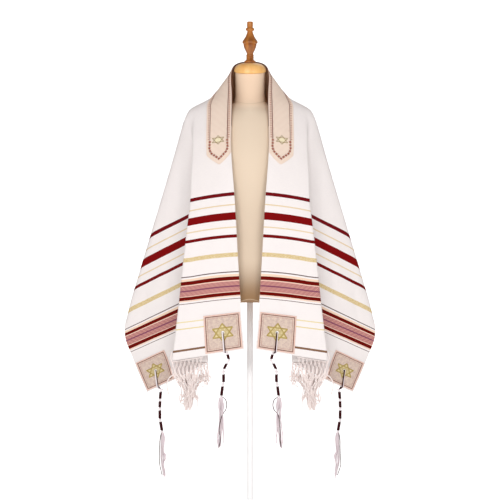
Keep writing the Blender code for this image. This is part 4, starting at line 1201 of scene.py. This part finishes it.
# Turned outlines as radius and height: the cap and the finial in table units, the base in metres.
CAP = [
    (0.3, 71.5), (15.0, 71.5), (15.6, 71.35), (15.95, 71.0), (16.0, 70.5), (15.92, 69.7), (15.75, 68.8),
    (15.35, 67.7), (14.7, 66.6), (13.9, 65.6), (12.9, 64.7), (11.7, 63.95), (10.3, 63.3), (8.4, 62.75),
    (6.2, 62.42), (0.3, 62.4),
]
FINIAL = [
    (0.3, 62.2), (5.6, 62.2), (6.0, 61.9), (6.05, 61.3), (5.8, 60.7), (4.8, 60.0), (4.0, 59.2), (3.6, 58.5),
    (3.45, 58.2), (3.8, 57.8), (3.9, 57.2), (3.75, 56.6), (3.4, 56.2), (3.75, 55.8), (3.9, 55.1),
    (3.75, 54.5), (3.35, 54.1), (3.2, 53.4), (3.3, 52.8), (3.7, 51.8), (4.3, 50.6), (5.0, 49.2), (5.6, 47.8),
    (6.1, 46.4), (6.5, 44.9), (6.7, 43.9), (6.45, 43.5), (6.7, 43.2), (7.4, 42.7), (7.7, 42.0), (7.7, 41.2),
    (7.4, 40.4), (6.9, 39.6), (6.2, 38.4), (5.3, 37.2), (4.5, 35.8), (3.8, 34.2), (3.2, 32.4), (2.8, 31.2),
    (2.7, 30.6), (3.4, 30.2), (4.1, 29.6), (4.35, 28.8), (4.3, 28.1), (3.9, 27.4), (3.1, 26.9), (2.9, 26.6),
    (3.0, 25.4), (3.05, 23.4), (3.05, 21.9), (2.8, 21.2), (2.3, 20.75), (0.3, 20.62),
]
BASE = [
    (0.002, 0.0), (0.1475, 0.0), (0.15, 0.0003), (0.153, 0.001), (0.1545, 0.0022), (0.1549, 0.004),
    (0.1549, 0.0068), (0.1545, 0.0082), (0.1535, 0.0092), (0.1515, 0.01), (0.149, 0.0105), (0.1, 0.012),
    (0.05, 0.0134), (0.026, 0.0142), (0.0215, 0.0148), (0.0185, 0.0165), (0.0172, 0.019), (0.0164, 0.024),
    (0.0162, 0.039), (0.0158, 0.0408), (0.0145, 0.042), (0.002, 0.042),
]


def in_metres(profile):
    return [(r * PX, height(h)) for r, h in profile]


def lathe(name, profile, sides, material, node, tilted=False):
    """A turned piece from rows of radius and height in metres."""
    turn = 2 * np.pi * np.arange(sides) / sides
    rings = [np.stack([r * np.cos(turn), r * np.sin(turn), np.full(sides, z)], 1) for r, z in profile]
    if tilted:
        for points in rings:
            share = (height(65.6) - points[0, 2]) / (height(65.6) - height(70.6))
            points[:, 2] += CAP_TILT * points[:, 1] * min(max(share, 0), 1)
    faces = loft(len(rings), sides)
    make(name, np.concatenate(rings), faces, material, [node], sharp=35.0)


def torso_ring(h):
    wide, front, back, power = along(TORSO, np.array([h]))[0]
    a = 2 * np.pi * np.arange(TORSO_SIDES) / TORSO_SIDES
    c, s = np.cos(a), np.sin(a)
    x = wide * np.sign(c) * np.abs(c) ** (2 / power)
    y = np.where(s < 0, front, back) * np.sign(s) * np.abs(s) ** (2 / power)
    return x, y


def arch(x, y):
    """How far the form's lower edge rises in the middle of the front."""
    return np.where(y < 0, 3.2 * np.exp(-((x / 9) ** 2)), 0.0)


def make_form():
    n = TORSO_SIDES
    heights = [np.linspace(71.75, 80, 10), np.linspace(81, 130, 50), np.linspace(132, 303, 70)]
    points = []
    for h in np.concatenate(heights):
        x, y = torso_ring(h)
        rise = CAP_TILT * y * np.clip((78 - h) / 6.3, 0, 1)
        rise += arch(x, y) * np.clip((h - 290) / 13, 0, 1) ** 2
        points.append(np.stack([x * PX * 0.998, y * PX * 0.998, height(h - rise)], 1))
    last = (len(points) - 1) * n
    faces = loft(len(points), n)[:-1]
    faces += [(last + k, last + (k + 1) % n, last + n) for k in range(n)]
    points = np.concatenate(points + [[[0, 0, height(302.5)]]])
    make("form_torso_cover", points, faces, "form_cover", ["form_torso"], sharp=60)
    seam, edge = Shape(), Shape()
    _, deep = torso_ring(103.0)
    path = []
    for k in [*range(n), 0]:
        h = 99.5 - 0.22 * deep[k]
        x, y = torso_ring(h)
        path.append([x[k] * PX * 0.999, y[k] * PX * 0.999, height(h)])
    tube(seam, path, 0.22 * PX)
    seam.make("form_neck_seam", "form_seam", "form_cover")
    x, y = torso_ring(302.4)
    path = np.stack([x * PX * 0.994, y * PX * 0.994, height(302.3 - arch(x, y))], 1)
    tube(edge, np.concatenate([path, path[:1]]), 0.3 * PX)
    edge.make("form_lower_edge", "form_seam", "form_cover")
    lathe("neck_cap_wood", in_metres(CAP), 96, "light_wood", "neck_cap", tilted=True)
    lathe("finial_wood", in_metres(FINIAL), 64, "turned_wood", "finial")
    top = height(302.4) - 0.0008
    pole = [(0.002, 0.0425), (0.0087, 0.0425), (0.009, 0.0428), (0.009, 0.3)]
    pole += [(0.009, top - 0.0003), (0.0087, top), (0.002, top)]
    lathe("pole_tube", pole, 48, "white_lacquer", "pole")
    lathe("base_plate", BASE, 128, "white_lacquer", "base")


def make_stage():
    """A floor that turns up into a backdrop: half-width, depth and height of each row."""
    rows = [
        (4.5, -4.5, 0.0), (4.5, 2.0, 0.0), (1.6, 2.2, 0.0), (1.25, 2.55, 0.04), (1.25, 2.85, 0.16),
        (1.25, 3.05, 0.36), (1.25, 3.15, 0.7), (1.25, 3.15, 2.3),
    ]
    points = [(x, y, z) for half, y, z in rows for x in (-half, half)]
    faces = [(2 * k, 2 * k + 1, 2 * k + 3, 2 * k + 2) for k in range(len(rows) - 1)]
    mesh = bpy.data.meshes.new("floor_and_backdrop")
    mesh.from_pydata(points, [], faces)
    for face in mesh.polygons:
        face.use_smooth = True
    mesh.materials.append(MATERIALS["plain_white"])
    link("floor_and_backdrop", mesh)


def area_light(name, place, size, power):
    """A lamp that points at the middle of the object."""
    data = bpy.data.lights.new(name, "AREA")
    data.shape = "RECTANGLE"
    data.size, data.size_y = size
    data.energy = power
    lamp = link(name, data)
    lamp.location = place
    lamp.rotation_euler = (Vector((0, 0, 1.0)) - Vector(place)).to_track_quat("-Z", "Y").to_euler()


def make_view():
    scene = bpy.context.scene
    data = bpy.data.cameras.new("camera")
    data.sensor_fit = "HORIZONTAL"
    data.sensor_width = 36.0
    distance = 18.0
    data.lens = data.sensor_width * (distance - 0.06) / (500 * PX)
    data.clip_end = 90
    camera = link("camera", data)
    camera.location = (0.0, -distance, height(250))
    camera.rotation_euler = (math.pi / 2, 0, 0)
    scene.camera = camera
    scene.world = bpy.data.worlds.new("soft_light")
    scene.world.use_nodes = True
    colour, strength = scene.world.node_tree.nodes["Background"].inputs[:2]
    colour.default_value, strength.default_value = (1, 0.93, 0.92, 1), 0.3
    area_light("key", (-1.3, -3.9, 2.6), (1.6, 1.4), 57)
    area_light("fill", (1.5, -4.0, 2.4), (1.6, 1.4), 48)
    area_light("rim", (0.8, 2.2, 3.2), (2.0, 1.2), 10)
    scene.view_settings.view_transform = "Standard"
    scene.view_settings.look = "None"


def main():
    make_view()
    make_materials()
    make_stage()
    make_form()
    shawl, shawl_trim = make_shawl()
    band, band_trim = make_neckband()
    corners = [(side, sign, place) for side, sign in SIDES for place in ("inner", "outer")]
    squares = [make_square(*corner) for corner in corners]
    for side, sign in SIDES:
        shawl_trim += make_fringe(side, sign)
    for corner in corners:
        shawl_trim += make_tassel(*corner)
    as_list(shawl_trim)
    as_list(band_trim)


main()
